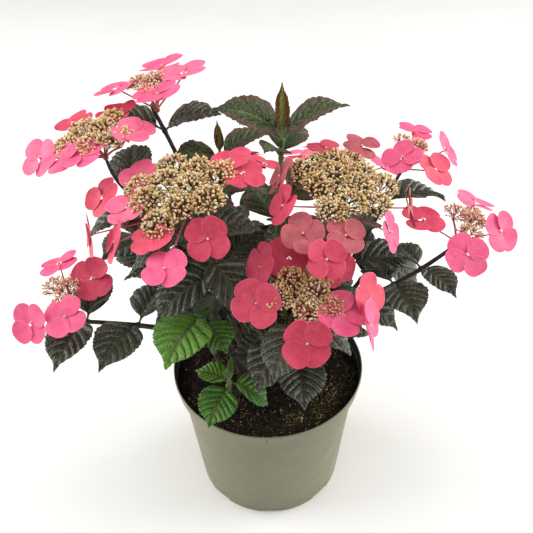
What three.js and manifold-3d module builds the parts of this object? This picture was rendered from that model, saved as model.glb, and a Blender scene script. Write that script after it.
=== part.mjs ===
// A potted lacecap hydrangea: pot, soil, canes, boughs, leafy shoots and flower heads.
// Millimetres, +Z up, the origin at the centre of the pot's flat underside.
import * as THREE from "three";
import { mergeVertices } from "three/addons/utils/BufferGeometryUtils.js";
import Module from "manifold-3d";

const wasm = await Module();
wasm.setup();

const GAP = 0.3; // between two pieces that touch
const SLIVER = 0.12; // a joined solid drops edges and facets finer than this
const DEGREE = Math.PI / 180;
const GOLDEN_TURN = 137.5 * DEGREE;

// ---- Pot and soil ----------------------------------------------------------------------

const POT_SIDES = 44;
const POT_HEIGHT = 184.5;
const POT_BASE_RADIUS = 90;
const POT_RIM_RADIUS = 115;
const POT_WALL = 1.7;
const POT_BAND = 19; // height of the band under the rim
const POT_DRAW = 2.5; // the band's foot is this much narrower than the rim
const POT_STEP = 5.5; // the band stands this far out of the tapering wall
const POT_CHAMFER = 2;
const DRAIN_NOTCHES = 8;
const NOTCH_SIZE = { width: 25, depth: 5, height: 5 };
const SOIL_TOP = 172;
const SOIL_SHOULDER = 2.5; // how far the soil falls away towards the wall
const SOIL_FLAT = 0.8 * POT_RIM_RADIUS; // it starts to fall here

// ---- The crown -------------------------------------------------------------------------

const CROWN = { centre: [-5, -5, 330], radii: [285, 225, 260] }; // no leaf grows out of it
const CANE_SIDES = 6;
const CANE_ROWS = 5;
const STEM_SIDES = 5;
const STEM_ROWS = 4;
const STALK_ROWS = 2;
const ONWARD = 0.45; // share of its length over which a limb keeps its carrier's direction
const SIDE_SAG = 0.16; // of its level run: how far a side shoot bows down
const STEM_RADII = [3.1, 2.2]; // of a leafy shoot, foot and tip
const STALK_RADII = [2.1, 1.7]; // of a flower head
const FOOT_FLARE = 1.45; // a cane's foot is this much thicker than the cane above it
const FLARE_LENGTH = 0.12; // of the cane
const CANE_TAPER = 0.78;
const BOUGH_TAPER = 0.85;

// Each cane rises from the soil at `foot` to `tip`, bowed by `sag` at its middle.
const CANES = {
  cane_left: { foot: [-30, -6], tip: [-72, 2, 318], radius: 4.4, sag: -8 },
  cane_centre_left: { foot: [-14, -24], tip: [-42, -40, 318], radius: 4.2, sag: -6 },
  cane_back_left: { foot: [-14, 24], tip: [-54, 44, 322], radius: 4.4, sag: -8 },
  cane_centre: { foot: [4, 6], tip: [12, 12, 330], radius: 4.6, sag: 0 },
  cane_centre_right: { foot: [16, -18], tip: [42, -26, 312], radius: 4.4, sag: -6 },
  cane_right: { foot: [32, 6], tip: [74, 14, 298], radius: 4.8, sag: -10 },
  cane_back_right: { foot: [18, 34], tip: [52, 76, 268], radius: 4.2, sag: -6 },
  cane_back: { foot: [-4, 40], tip: [-26, 84, 262], radius: 4.0, sag: -6 },
  cane_green: { foot: [-36, -38], tip: [-58, -64, 272], radius: 3.2, sag: -4 },
  cane_sucker: { foot: [-46, -62], tip: [-45, -68, 204], radius: 2.4, sag: 0 },
};

// A bough leaves a cane at `at` (0 its foot, 1 its tip) and ends at `tip`.
const BOUGHS = {
  bough_low_left: { on: "cane_left", at: 0.62, tip: [-122, -38, 286], radius: 3.4, sag: -6 },
  bough_front: { on: "cane_centre_right", at: 0.5, tip: [30, -66, 296], radius: 3.4, sag: -5 },
  bough_far_right: { on: "cane_right", at: 0.8, tip: [124, -2, 296], radius: 3.6, sag: -5 },
  bough_low_front: { on: "cane_centre_left", at: 0.34, tip: [8, -52, 236], radius: 3.0, sag: -3 },
};

// A leafy shoot grows on from the tip of a cane or bough, or from its side at `at`, to `tip`.
// `pairs` holds the place of each pair of opposite leaves along the stem, its heading, and the
// share of `leaf`, the leaves' length, that it has where it is smaller than the others.
// `lift` raises the topmost leaves by so many degrees, `young` is the share of `leaf` that a
// last, upright pair has, and a `green` shoot has fresh green leaves.
const SHOOTS = {
  leaves_top_left: {
    on: "cane_back_left", tip: [-113, 78, 492], leaf: 76,
    pairs: [[0.3, 130], [0.6, 35], [0.88, 350, 0.95]], lift: 80,
  },
  leaves_green_back: {
    on: "cane_back_left", at: 0.7, tip: [-46, 62, 448], leaf: 60,
    pairs: [[0.45, 170], [0.72, 80], [0.96, 194]], young: 0.62, lift: 34, green: true,
  },
  leaves_left: {
    on: "cane_left", tip: [-142, 14, 436], leaf: 82,
    pairs: [[0.22, 20], [0.5, 110], [0.76, 195], [0.94, 100]],
  },
  leaves_centre_left: {
    on: "cane_centre_left", tip: [-72, -54, 436], leaf: 80,
    pairs: [[0.16, 300], [0.42, 215], [0.68, 300], [0.93, 200]],
  },
  leaves_low_left: {
    on: "bough_low_left", tip: [-198, -58, 318], leaf: 74,
    pairs: [[0.3, 62], [0.93, 76]], lift: 12,
  },
  leaves_top: {
    on: "cane_centre", tip: [20, 20, 492], leaf: 80,
    pairs: [[0.14, 20], [0.36, 105], [0.54, 10], [0.86, 250, 0.85], [0.98, 172]],
    young: 0.76, lift: 28, green: true,
  },
  leaves_centre_right: {
    on: "cane_centre_right", tip: [73, -36, 422], leaf: 80,
    pairs: [[0.2, 330], [0.5, 60], [0.78, 325], [0.94, 50]],
  },
  leaves_upper_right: {
    on: "cane_right", at: 0.93, tip: [138, 50, 398], leaf: 80,
    pairs: [[0.35, 10], [0.64, 95], [0.93, 15]],
  },
  leaves_far_right: {
    on: "bough_far_right", tip: [201, -8, 366], leaf: 74,
    pairs: [[0.26, 286], [0.62, 298, 0.74]],
  },
  leaves_front: {
    on: "bough_front", tip: [36, -98, 352], leaf: 78,
    pairs: [[0.12, 225], [0.5, 350], [0.88, 60]], droop: 1.4,
  },
  leaves_green_left: {
    on: "cane_green", tip: [-67, -66, 328], leaf: 73, wide: 0.88,
    pairs: [[0.88, 125, 0.62], [1, 240]], green: true,
  },
  leaves_sucker: {
    on: "cane_sucker", tip: [-42, -92, 254], leaf: 52, wide: 0.8,
    pairs: [[0.55, 248], [0.94, 168]], young: 0.6, green: true,
  },
  leaves_low_front: {
    on: "bough_low_front", tip: [36, -58, 254], leaf: 72, wide: 0.78,
    pairs: [[0.3, 190], [0.97, 270]],
  },
  leaves_low_right: {
    on: "cane_right", at: 0.5, tip: [74, -60, 300], leaf: 70,
    pairs: [[0.35, 10], [0.65, 60], [0.94, 352]],
  },
  leaves_side_left: {
    on: "cane_left", at: 0.8, tip: [-142, 66, 330], leaf: 80,
    pairs: [[0.4, 60], [0.66, 150], [0.93, 60]],
  },
  leaves_side_right: {
    on: "cane_right", at: 0.66, tip: [142, 66, 310], leaf: 80,
    pairs: [[0.4, 330], [0.66, 60], [0.93, 330]],
  },
  leaves_back_left: {
    on: "cane_back", tip: [-40, 124, 332], leaf: 82,
    pairs: [[0.2, 20], [0.55, 100], [0.92, 190]],
  },
  leaves_back_right: {
    on: "cane_back_right", tip: [82, 122, 336], leaf: 82,
    pairs: [[0.2, 330], [0.55, 55], [0.92, 140]],
  },
  leaves_low_back: {
    on: "cane_back", at: 0.62, tip: [16, 138, 262], leaf: 76,
    pairs: [[0.4, 10], [0.7, 90], [0.95, 10]],
  },
  leaves_low_back_left: {
    on: "cane_back_left", at: 0.5, tip: [-104, 96, 262], leaf: 78,
    pairs: [[0.4, 50], [0.68, 130], [0.94, 50]],
  },
};

// A flower head: `at` is the middle of its fertile disc and `disc` that disc's radius. Each
// sterile floret round it has an azimuth and a reach, and where it is turned some other way
// than outwards by the rule also a tilt and the heading that it tilts to.
const HEADS = {
  head_top_left: {
    on: "leaves_top_left", at: [-113, 60, 531], disc: 25, lumps: 4, floret: 52,
    florets: [[160, 36, 2], [-70, 40, 4], [5, 38, 6], [82, 58, 2]],
  },
  head_left: {
    on: "leaves_left", at: [-166, 20, 499], disc: 38, lumps: 6, floret: 45,
    florets: [
      [-172, 60, 40, -120], [-140, 42, 12], [-100, 38, 5], [125, 54, 4], [58, 38, 4], [-20, 46],
    ],
  },
  head_centre_left: {
    on: "leaves_centre_left", at: [-78, -60, 484], disc: 52, lumps: 10, floret: 44,
    florets: [
      [165, 84, 28, -150], [-172, 52, 4], [-165, 92, 72], [-145, 74, 50, 190], [-115, 56, 6, 90],
      [-98, 84, 8], [-65, 66, 48, -90], [35, 58, 14, 80], [12, 62, 26], [140, 54, 5],
    ],
  },
  head_low_left: {
    on: "leaves_low_left", at: [-209, -60, 362], disc: 26, lumps: 4, floret: 47,
    florets: [[105, 48, 14], [15, 34, 40, -80], [-130, 44, 46, -110], [-75, 38, 22]],
  },
  head_centre_right: {
    on: "leaves_centre_right", at: [80, -40, 470], disc: 51, lumps: 10, floret: 41,
    florets: [
      [105, 60, 22], [72, 82, 4], [175, 64, 70], [-152, 70, 66, 190], [-125, 78, 24],
      [-95, 62, 12], [-105, 92, 38, -80], [-50, 62, 48, -20], [-8, 64, 66],
    ],
  },
  head_upper_right: {
    on: "leaves_upper_right", at: [159, 60, 450], disc: 22, lumps: 4, floret: 44,
    florets: [[75, 54, 4], [20, 46, 42, -10], [-65, 46, 28], [-115, 36, 42, -150]],
  },
  head_far_right: {
    on: "leaves_far_right", at: [210, -10, 402], disc: 26, lumps: 4, floret: 48,
    florets: [[65, 44, 14], [-10, 38, 40, -60], [-100, 54, 38], [-168, 50, 8]],
  },
  head_front: {
    on: "leaves_front", at: [37, -110, 400], disc: 36, lumps: 6, floret: 51,
    florets: [
      [145, 50, 60, 185], [-165, 48, 46, -110], [-90, 54, 46], [110, 40, 10, -90],
      [50, 46, 38, -60], [-35, 42, 5], [-3, 62, 48, -20], [-28, 68, 64, -10],
    ],
  },
  head_back_left: {
    on: "leaves_back_left", at: [-44, 138, 380], disc: 34, lumps: 5, floret: 46,
    florets: [[175, 50], [115, 48], [60, 50], [-5, 46]],
  },
  head_back_right: {
    on: "leaves_back_right", at: [92, 134, 386], disc: 36, lumps: 5, floret: 46,
    florets: [[170, 48], [115, 50], [60, 48], [5, 52]],
  },
};

// ---- Leaf and flower rule --------------------------------------------------------------

const LEAF = {
  width: 0.64, // of its length
  petiole: 0.14, // of its length
  stalk: 1.5, // half the petiole's width
  thick: 2, // at the midrib
  fold: 12 * DEGREE,
  peak: 0.72, // moves the widest place towards the root
  blunt: 0.85, // below 1 it fills the outline out
  rows: [0, 0.16, 0.42, 0.74, 1], // places of its sections along it
  checkFrom: 0.3, // nearer its root it may lie close to other things
  checkStep: 0.1,
  checkAcross: [-0.92, -0.46, 0, 0.46, 0.92],
};
const SIZE_SPREAD = 0.08;
const DROOPING_RISE = 0.3; // the leaves of a drooping shoot start this share as steep
const RISE = { mean: 24 * DEGREE, spread: 12 * DEGREE };
const BEND = { mean: 62 * DEGREE, spread: 16 * DEGREE };
const TURN_SPREAD = 9 * DEGREE;
const ROLL_SPREAD = 14 * DEGREE;
const YOUNG = {
  at: 0.99,
  rise: 72 * DEGREE,
  bend: -14 * DEGREE,
  wide: 0.26, // of its length
  turn: 90 * DEGREE,
};
const TRIES = [0, -14, 14, -28, 28, -42]; // a leaf that would touch rises by these degrees
const TRY_SIZES = [1, 0.8];
const LEAF_BALL = 0.06; // of its length: the radius kept free round a point of a leaf
const LEAF_CLEAR = 1.5;
const BALL_STEP = 8; // between the balls along a limb
const LIFT_GATHER = 8; // the power that keeps a shoot's lift to its topmost leaves
const POT_CLEAR = 10; // a leaf inside the rim stays this far from the wall

const HEAD_LEAN = 16 * DEGREE; // a head leans away from the plant's middle
const HUB_DEPTH = 27; // the branches of a head part this far below its disc
const DISC_DOME = 11;
const DISC_LIFT = 4;
const LUMP_SPREAD = 0.86; // of the disc's radius
const LUMP_SIZE = 0.7; // keeps the clusters of buds apart
const LUMP_FLATNESS = 0.7;
const FLORET = {
  lift: 8, // above the disc's middle, less `fall` for each millimetre of reach
  fall: 0.2,
  tilt: 6, // degrees, and `tiltPerMm` more for each millimetre of reach
  tiltPerMm: 0.35,
  thick: 1.6, // in the middle
  notch: 0.72, // radius between two sepals, as a share of the radius of a sepal's tip
  blunt: 0.7, // below 1 it squares the sepals' ends
  cup: 0.06, // of its size: how far the rim stands above the middle
  seat: 0.1, // of its size: how far off the middle the pedicel enters
  room: 9, // radius kept free round its middle, and round its rim 1 less
};
const HUB_RADIUS = 4;
const BRANCH_RADII = [1.3, 1.1];
const PEDICEL_RADII = [0.9, 0.75];

// ---- Helpers ---------------------------------------------------------------------------

const vector = (p) => new THREE.Vector3(p[0], p[1], p[2]);
const mix = THREE.MathUtils.lerp;

// A small seeded generator, so that every run gives the same plant.
function seeded(seed) {
  let state = seed >>> 0;
  return () => {
    state = (state + 0x6d2b79f5) >>> 0;
    let t = Math.imul(state ^ (state >>> 15), state | 1);
    t ^= t + Math.imul(t ^ (t >>> 7), t | 61);
    return ((t ^ (t >>> 14)) >>> 0) / 4294967296;
  };
}

function toSolid(geometry) {
  const bare = new THREE.BufferGeometry();
  bare.setAttribute("position", geometry.getAttribute("position"));
  bare.setIndex(geometry.index);
  const merged = mergeVertices(bare, 1e-4);
  return new wasm.Manifold(
    new wasm.Mesh({
      numProp: 3,
      vertProperties: new Float32Array(merged.attributes.position.array),
      triVerts: new Uint32Array(merged.index.array),
    }),
  );
}

function toGeometry(solid) {
  const mesh = solid.getMesh();
  const geometry = new THREE.BufferGeometry();
  geometry.setAttribute("position", new THREE.BufferAttribute(mesh.vertProperties, 3));
  geometry.setIndex(new THREE.BufferAttribute(mesh.triVerts, 1));
  geometry.computeVertexNormals();
  return geometry;
}

const join = (solids) => wasm.Manifold.union(solids).simplify(SLIVER);

// Moves every vertex of an upright prism or cone: place(t, x, y) gets how far up it is,
// from 0 to 1, and its place in a section of radius 1.
function sweep(sides, rows, pointed, place) {
  const geometry = pointed
    ? new THREE.ConeGeometry(1, 1, sides, rows)
    : new THREE.CylinderGeometry(1, 1, 1, sides, rows);
  const position = geometry.getAttribute("position");
  for (let i = 0; i < position.count; i++) {
    const t = position.getY(i) + 0.5;
    const size = pointed && t < 1 ? 1 / (1 - t) : 1;
    const p = place(t, position.getX(i) * size, -position.getZ(i) * size);
    position.setXYZ(i, p.x, p.y, p.z);
  }
  return toSolid(geometry);
}

// ---- Limbs -----------------------------------------------------------------------------

// A bowed curve from a to b, whose middle is moved up by `sag`.
function limbCurve(a, b, sag) {
  const middle = a.clone().lerp(b, 0.5);
  middle.z += 2 * sag;
  return new THREE.QuadraticBezierCurve3(a, middle, b);
}

// A curve that grows straight on from another's tip, a gap clear of it, to b.
function onwardCurve(carrier, b) {
  const along = carrier.getTangent(1);
  const a = carrier.getPoint(1).addScaledVector(along, GAP);
  const middle = a.clone().addScaledVector(along, ONWARD * a.distanceTo(b));
  return new THREE.QuadraticBezierCurve3(a, middle, b);
}

// A curve that leaves another's side at `at`, bowed down, to b.
function sideCurve(carrier, at, b) {
  const a = carrier.getPoint(at);
  return limbCurve(a, b, -SIDE_SAG * Math.hypot(b.x - a.x, b.y - a.y));
}

// A tapering limb round a curve. `grow` widens it and lengthens its tip.
function limbSolid(limb, sides, rows, grow = 0) {
  const side = new THREE.Vector3();
  const up = new THREE.Vector3();
  return sweep(sides, rows, false, (t, x, y) => {
    const centre = limb.curve.getPoint(t);
    const along = limb.curve.getTangent(t);
    if (t > 0.999) centre.addScaledVector(along, grow);
    side.set(0, 1, 0).cross(along).normalize();
    if (limb.level && t < 0.001) {
      along.set(0, 0, 1);
      side.set(1, 0, 0);
    }
    up.crossVectors(along, side);
    const radius = limb.radius(t) + grow;
    return centre.addScaledVector(side, x * radius).addScaledVector(up, y * radius);
  });
}

function limb(curve, radii, level = false) {
  const flare = level ? FOOT_FLARE : 1;
  return {
    curve,
    level,
    radius: (t) => mix(radii[0], radii[1], t) * (1 + (flare - 1) * Math.max(0, 1 - t / FLARE_LENGTH)),
  };
}

const limbs = {};

function growLimbs() {
  for (const [name, cane] of Object.entries(CANES)) {
    const foot = vector([...cane.foot, SOIL_TOP + GAP]);
    const curve = limbCurve(foot, vector(cane.tip), cane.sag);
    limbs[name] = limb(curve, [cane.radius, CANE_TAPER * cane.radius], true);
  }
  for (const [name, bough] of Object.entries(BOUGHS)) {
    const from = limbs[bough.on].curve.getPoint(bough.at);
    const curve = limbCurve(from, vector(bough.tip), bough.sag);
    limbs[name] = limb(curve, [bough.radius, BOUGH_TAPER * bough.radius]);
  }
  for (const [name, shoot] of Object.entries(SHOOTS)) {
    const carrier = limbs[shoot.on].curve;
    const tip = vector(shoot.tip);
    const curve = shoot.at ? sideCurve(carrier, shoot.at, tip) : onwardCurve(carrier, tip);
    limbs[name] = limb(curve, STEM_RADII);
  }
  for (const [name, head] of Object.entries(HEADS)) {
    const hub = headPoint(head, 0, 0, -HUB_DEPTH);
    limbs[name] = limb(onwardCurve(limbs[head.on].curve, hub), STALK_RADII);
  }
}

// ---- Flower heads ----------------------------------------------------------------------

// A head's own frame: its z runs along the head's axis, its x near the plant's X.
function headFrame(head) {
  const out = Math.hypot(head.at[0], head.at[1]);
  const axis = vector([
    (head.at[0] / out) * Math.sin(HEAD_LEAN),
    (head.at[1] / out) * Math.sin(HEAD_LEAN),
    Math.cos(HEAD_LEAN),
  ]);
  const x = vector([1, 0, 0]).addScaledVector(axis, -axis.x).normalize();
  const y = new THREE.Vector3().crossVectors(axis, x);
  return new THREE.Matrix4().makeBasis(x, y, axis).setPosition(vector(head.at));
}

const headPoint = (head, x, y, z) => vector([x, y, z]).applyMatrix4(headFrame(head));

// The middle of each cluster of buds, laid out as seeds are in a sunflower.
function lumpPlaces(head) {
  return Array.from({ length: head.lumps }, (_, i) => {
    const reach = LUMP_SPREAD * head.disc * Math.sqrt((i + 0.5) / head.lumps);
    const dome = DISC_LIFT - DISC_DOME * (reach / head.disc) ** 2;
    return [reach * Math.cos(i * GOLDEN_TURN), reach * Math.sin(i * GOLDEN_TURN), dome];
  });
}

const lumpRadius = (head) => (LUMP_SIZE * head.disc) / Math.sqrt(head.lumps);

// The frame of one sterile floret: its middle, and its own z out of its face.
function floretFrame(head, [azimuth, reach, ownTilt, ownHeading]) {
  const turn = azimuth * DEGREE;
  const tilt = (ownTilt ?? FLORET.tilt + reach * FLORET.tiltPerMm) * DEGREE;
  const place = new THREE.Matrix4().makeTranslation(
    reach * Math.cos(turn),
    reach * Math.sin(turn),
    FLORET.lift - FLORET.fall * reach,
  );
  const lean = new THREE.Matrix4().makeRotationY(tilt);
  const spin = new THREE.Matrix4().makeRotationZ((ownHeading ?? azimuth) * DEGREE);
  return headFrame(head).multiply(place).multiply(spin).multiply(lean);
}

// Four broad sepals as one thin lens whose outline has four lobes.
function floretPlate(size) {
  const geometry = new THREE.SphereGeometry(1, 12, 2);
  geometry.rotateX(Math.PI / 2);
  const position = geometry.getAttribute("position");
  for (let i = 0; i < position.count; i++) {
    const x = position.getX(i);
    const y = position.getY(i);
    const lobe = Math.abs(Math.sin(2 * Math.atan2(y, x)));
    const reach = (size / 2) * (FLORET.notch + (1 - FLORET.notch) * lobe ** FLORET.blunt);
    const rim = Math.hypot(x, y) > 0.5;
    const z = rim ? FLORET.cup * size : (position.getZ(i) * FLORET.thick) / 2;
    position.setXYZ(i, x * reach, y * reach, z);
  }
  return geometry;
}

function pedicel(from, to, radii) {
  const curve = new THREE.LineCurve3(from, to);
  return limbSolid(limb(curve, radii), 3, 1);
}

// Where a pedicel enters its floret: off its middle, inside one facet of the plate.
function floretSeat(head, frame) {
  const reach = FLORET.seat * head.floret;
  const turn = 15 * DEGREE;
  const rise = 2 * FLORET.cup * reach;
  return vector([reach * Math.cos(turn), reach * Math.sin(turn), rise]).applyMatrix4(frame);
}

function headSolid(name, head) {
  const frame = headFrame(head);
  const hub = headPoint(head, 0, 0, -HUB_DEPTH);
  const knot = new THREE.OctahedronGeometry(HUB_RADIUS).translate(hub.x, hub.y, hub.z);
  const pieces = [limbSolid(limbs[name], STEM_SIDES, STALK_ROWS), toSolid(mergeVertices(knot))];
  const radius = lumpRadius(head);
  for (const place of lumpPlaces(head)) {
    const lump = new THREE.IcosahedronGeometry(1, 0).scale(radius, radius, LUMP_FLATNESS * radius);
    lump.translate(...place).applyMatrix4(frame);
    pieces.push(toSolid(mergeVertices(lump)));
    pieces.push(pedicel(hub, headPoint(head, ...place), BRANCH_RADII));
  }
  for (const floret of head.florets) {
    const place = floretFrame(head, floret);
    pieces.push(toSolid(floretPlate(head.floret).applyMatrix4(place)));
    const seat = floretSeat(head, place);
    pieces.push(pedicel(hub, seat, PEDICEL_RADII));
  }
  return join(pieces);
}

// ---- What is already grown: balls that a new leaf keeps clear of -------------------------

const taken = [];

function take(point, radius, owner) {
  taken.push({ point, radius, owner });
}

function takeLimb(name) {
  const length = limbs[name].curve.getLength();
  const steps = Math.ceil(length / BALL_STEP);
  for (let i = 0; i <= steps; i++) {
    take(limbs[name].curve.getPoint(i / steps), limbs[name].radius(i / steps) + 1, name);
  }
}

function takeHead(name, head) {
  for (const place of lumpPlaces(head)) {
    take(headPoint(head, ...place), lumpRadius(head) + 2, name);
  }
  for (const floret of head.florets) {
    const frame = floretFrame(head, floret);
    take(new THREE.Vector3().setFromMatrixPosition(frame), FLORET.room, name);
    for (let i = 0; i < 8; i++) {
      const turn = (i * Math.PI) / 4;
      const rim = FLORET.notch * 0.5 * head.floret;
      const place = vector([rim * Math.cos(turn), rim * Math.sin(turn), 1]).applyMatrix4(frame);
      take(place, FLORET.room - 1, name);
    }
  }
}

// ---- Leaves ----------------------------------------------------------------------------

// A leaf bends along an arc from its root; t runs from 0 there to 1 at its tip.
function leafPoint(leaf, t, across, over = 0) {
  const rise = leaf.rise - leaf.bend * t;
  const run = (Math.sin(leaf.rise) - Math.sin(rise)) * (leaf.length / leaf.bend);
  const climb = (Math.cos(rise) - Math.cos(leaf.rise)) * (leaf.length / leaf.bend);
  const ahead = vector([Math.cos(leaf.heading), Math.sin(leaf.heading), 0]);
  const side = vector([-ahead.y, ahead.x, 0]);
  const normal = ahead.clone().multiplyScalar(-Math.sin(rise));
  normal.z = Math.cos(rise);
  const wide = leafHalfWidth(leaf, t) * across;
  const high = Math.abs(wide) * Math.tan(LEAF.fold) + over;
  const c = Math.cos(leaf.roll);
  const s = Math.sin(leaf.roll);
  return leaf.root
    .clone()
    .addScaledVector(ahead, run)
    .add(vector([0, 0, climb]))
    .addScaledVector(side, wide * c - high * s)
    .addScaledVector(normal, wide * s + high * c);
}

function leafHalfWidth(leaf, t) {
  if (t <= LEAF.petiole) return LEAF.stalk;
  const u = (t - LEAF.petiole) / (1 - LEAF.petiole);
  const blade = Math.sin(Math.PI * u ** LEAF.peak) ** LEAF.blunt;
  return Math.max(LEAF.stalk * (1 - u), (leaf.length * leaf.wide * blade) / 2);
}

function leafSolid(leaf) {
  const rows = LEAF.rows.length - 1;
  return sweep(4, rows, true, (t, x, y) => {
    const along = LEAF.rows[Math.round(t * rows)];
    const half = (LEAF.thick / 2) * (along < 0.2 ? 1.3 : 1) * Math.round(y);
    return leafPoint(leaf, along, Math.round(x), t > 0.999 ? 0 : half);
  });
}

function inCrown(p) {
  const { centre, radii } = CROWN;
  const terms = [p.x - centre[0], p.y - centre[1], p.z - centre[2]].map((d, i) => d / radii[i]);
  return Math.hypot(...terms) < 1;
}

// Clear of the pot's wall and of the soil.
function offPot(p) {
  const out = Math.hypot(p.x, p.y);
  if (p.z > POT_HEIGHT + 5) return true;
  return p.z > SOIL_TOP + 6 && out < POT_RIM_RADIUS - POT_CLEAR;
}

function leafSamples(leaf) {
  const points = [];
  const steps = Math.round((1 - LEAF.checkFrom) / LEAF.checkStep);
  for (let i = 0; i <= steps; i++) {
    const t = LEAF.checkFrom + i * LEAF.checkStep;
    for (const across of LEAF.checkAcross) points.push(leafPoint(leaf, t, across));
  }
  return points;
}

function leafFits(leaf, owner) {
  const free = LEAF_BALL * leaf.length + LEAF_CLEAR;
  return leafSamples(leaf).every((p) => {
    if (!inCrown(p) || !offPot(p)) return false;
    return taken.every((ball) => {
      if (ball.owner === owner) return true;
      return ball.point.distanceTo(p) > ball.radius + free;
    });
  });
}

// Tries a leaf at several rises and two sizes, and skips it where none has room.
function settleLeaf(leaf, owner) {
  for (const size of TRY_SIZES) {
    for (const turn of TRIES) {
      const tried = { ...leaf, length: leaf.length * size, rise: leaf.rise + turn * DEGREE };
      if (leafFits(tried, owner)) {
        for (const p of leafSamples(tried)) take(p, LEAF_BALL * tried.length, "leaf");
        return tried;
      }
    }
  }
  return null;
}

function shootLeaves(name, shoot, seed) {
  const random = seeded(seed);
  const spread = () => 2 * random() - 1;
  const leaves = [];
  const lift = (shoot.lift ?? 0) * DEGREE;
  const grow = (at, heading, size, young) => {
    for (const side of [0, Math.PI]) {
      const leaf = {
        root: limbs[name].curve.getPoint(at),
        heading: heading + side + TURN_SPREAD * spread(),
        rise: young ? YOUNG.rise : RISE.mean + RISE.spread * spread() + lift * at ** LIFT_GATHER,
        bend: (young ? YOUNG.bend : BEND.mean + BEND.spread * spread()) * (shoot.droop ?? 1),
        length: shoot.leaf * size * (young ? 1 : 1 + SIZE_SPREAD * spread()),
        roll: ROLL_SPREAD * spread(),
        wide: young ? YOUNG.wide : shoot.wide ?? LEAF.width,
      };
      if (shoot.droop && !young) leaf.rise *= DROOPING_RISE;
      const settled = settleLeaf(leaf, name);
      if (settled) leaves.push(settled);
    }
  };
  for (const [at, heading, size = 1] of shoot.pairs) grow(at, heading * DEGREE, size, false);
  if (shoot.young) {
    grow(YOUNG.at, shoot.pairs.at(-1)[1] * DEGREE + YOUNG.turn, shoot.young, true);
  }
  return leaves;
}

function shootSolid(name, shoot, leaves) {
  const whole = join([limbSolid(limbs[name], STEM_SIDES, STEM_ROWS), ...leaves.map(leafSolid)]);
  if (!shoot.at) return whole;
  return whole.subtract(limbSolid(limbs[shoot.on], CANE_SIDES, CANE_ROWS, GAP));
}

// ---- Pot and soil ----------------------------------------------------------------------

function lathe(profile) {
  const points = profile.map(([r, z]) => new THREE.Vector2(r, z));
  return new THREE.LatheGeometry(points, POT_SIDES).rotateX(Math.PI / 2);
}

const BAND_FOOT = POT_HEIGHT - POT_BAND;
const BAND_RADIUS = POT_RIM_RADIUS - POT_DRAW;
const WALL_TOP_RADIUS = BAND_RADIUS - POT_STEP;
const BAND_SLOPE = 1.5; // how far the band's underside rises outwards
const LEDGE = BAND_FOOT + POT_WALL; // inside, where the wall widens to the band

function potSolid() {
  const shell = toSolid(
    lathe([
      [0, 0],
      [POT_BASE_RADIUS - POT_CHAMFER, 0],
      [POT_BASE_RADIUS, POT_CHAMFER],
      [WALL_TOP_RADIUS, BAND_FOOT],
      [BAND_RADIUS, BAND_FOOT + BAND_SLOPE],
      [POT_RIM_RADIUS, POT_HEIGHT],
      [POT_RIM_RADIUS - POT_WALL, POT_HEIGHT],
      [BAND_RADIUS - POT_WALL, LEDGE + BAND_SLOPE],
      [WALL_TOP_RADIUS - POT_WALL, LEDGE],
      [POT_BASE_RADIUS - POT_WALL, POT_CHAMFER + POT_WALL],
      [0, POT_CHAMFER + POT_WALL],
    ]),
  );
  const notches = Array.from({ length: DRAIN_NOTCHES }, (_, i) => {
    const { width, depth, height } = NOTCH_SIZE;
    const box = new THREE.BoxGeometry(2 * depth, width, 2 * height);
    box.translate(POT_BASE_RADIUS, 0, 0);
    box.rotateZ(-Math.PI / 2 + (i * 2 * Math.PI) / DRAIN_NOTCHES);
    return toSolid(box);
  });
  return shell.subtract(join(notches));
}

function soilSolid() {
  const side = POT_WALL + GAP;
  return toSolid(
    lathe([
      [0, POT_CHAMFER + POT_WALL + GAP],
      [POT_BASE_RADIUS - side - 0.4, POT_CHAMFER + POT_WALL + GAP],
      [WALL_TOP_RADIUS - side - 0.1, LEDGE + GAP],
      [BAND_RADIUS - side - 0.1, SOIL_TOP - SOIL_SHOULDER],
      [SOIL_FLAT, SOIL_TOP],
      [0, SOIL_TOP],
    ]),
  );
}

// ---- Assembly --------------------------------------------------------------------------

const material = (color, roughness) =>
  new THREE.MeshStandardMaterial({ color, roughness, metalness: 0 });

const MATERIALS = {
  pot: material("#b2b098", 0.6),
  soil: material("#2b241d", 0.95),
  bark: material("#4a3b33", 0.8),
  leaf: material("#28332a", 0.55),
  young: material("#4d7a35", 0.5),
  flower: material("#e0486f", 0.7),
};

const hydrangea = new THREE.Group();

// Adds the solid's largest body, without any loose scrap that a cut has left.
function addNode(name, solid, finish) {
  const whole = solid.decompose().sort((a, b) => b.volume() - a.volume())[0];
  const mesh = new THREE.Mesh(toGeometry(whole), finish);
  mesh.name = name;
  hydrangea.add(mesh);
}

growLimbs();
addNode("pot", potSolid(), MATERIALS.pot);
addNode("soil", soilSolid(), MATERIALS.soil);
for (const name of Object.keys(limbs)) takeLimb(name);
for (const [name, head] of Object.entries(HEADS)) takeHead(name, head);

for (const name of Object.keys(CANES)) {
  addNode(name, limbSolid(limbs[name], CANE_SIDES, CANE_ROWS), MATERIALS.bark);
}
for (const [name, bough] of Object.entries(BOUGHS)) {
  const carrier = limbSolid(limbs[bough.on], CANE_SIDES, CANE_ROWS, GAP);
  addNode(name, limbSolid(limbs[name], CANE_SIDES, CANE_ROWS).subtract(carrier), MATERIALS.bark);
}
Object.entries(SHOOTS).forEach(([name, shoot], i) => {
  const leaves = shootLeaves(name, shoot, i + 1);
  addNode(name, shootSolid(name, shoot, leaves), shoot.green ? MATERIALS.young : MATERIALS.leaf);
});
for (const [name, head] of Object.entries(HEADS)) {
  addNode(name, headSolid(name, head), MATERIALS.flower);
}

export default hydrangea;
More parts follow.
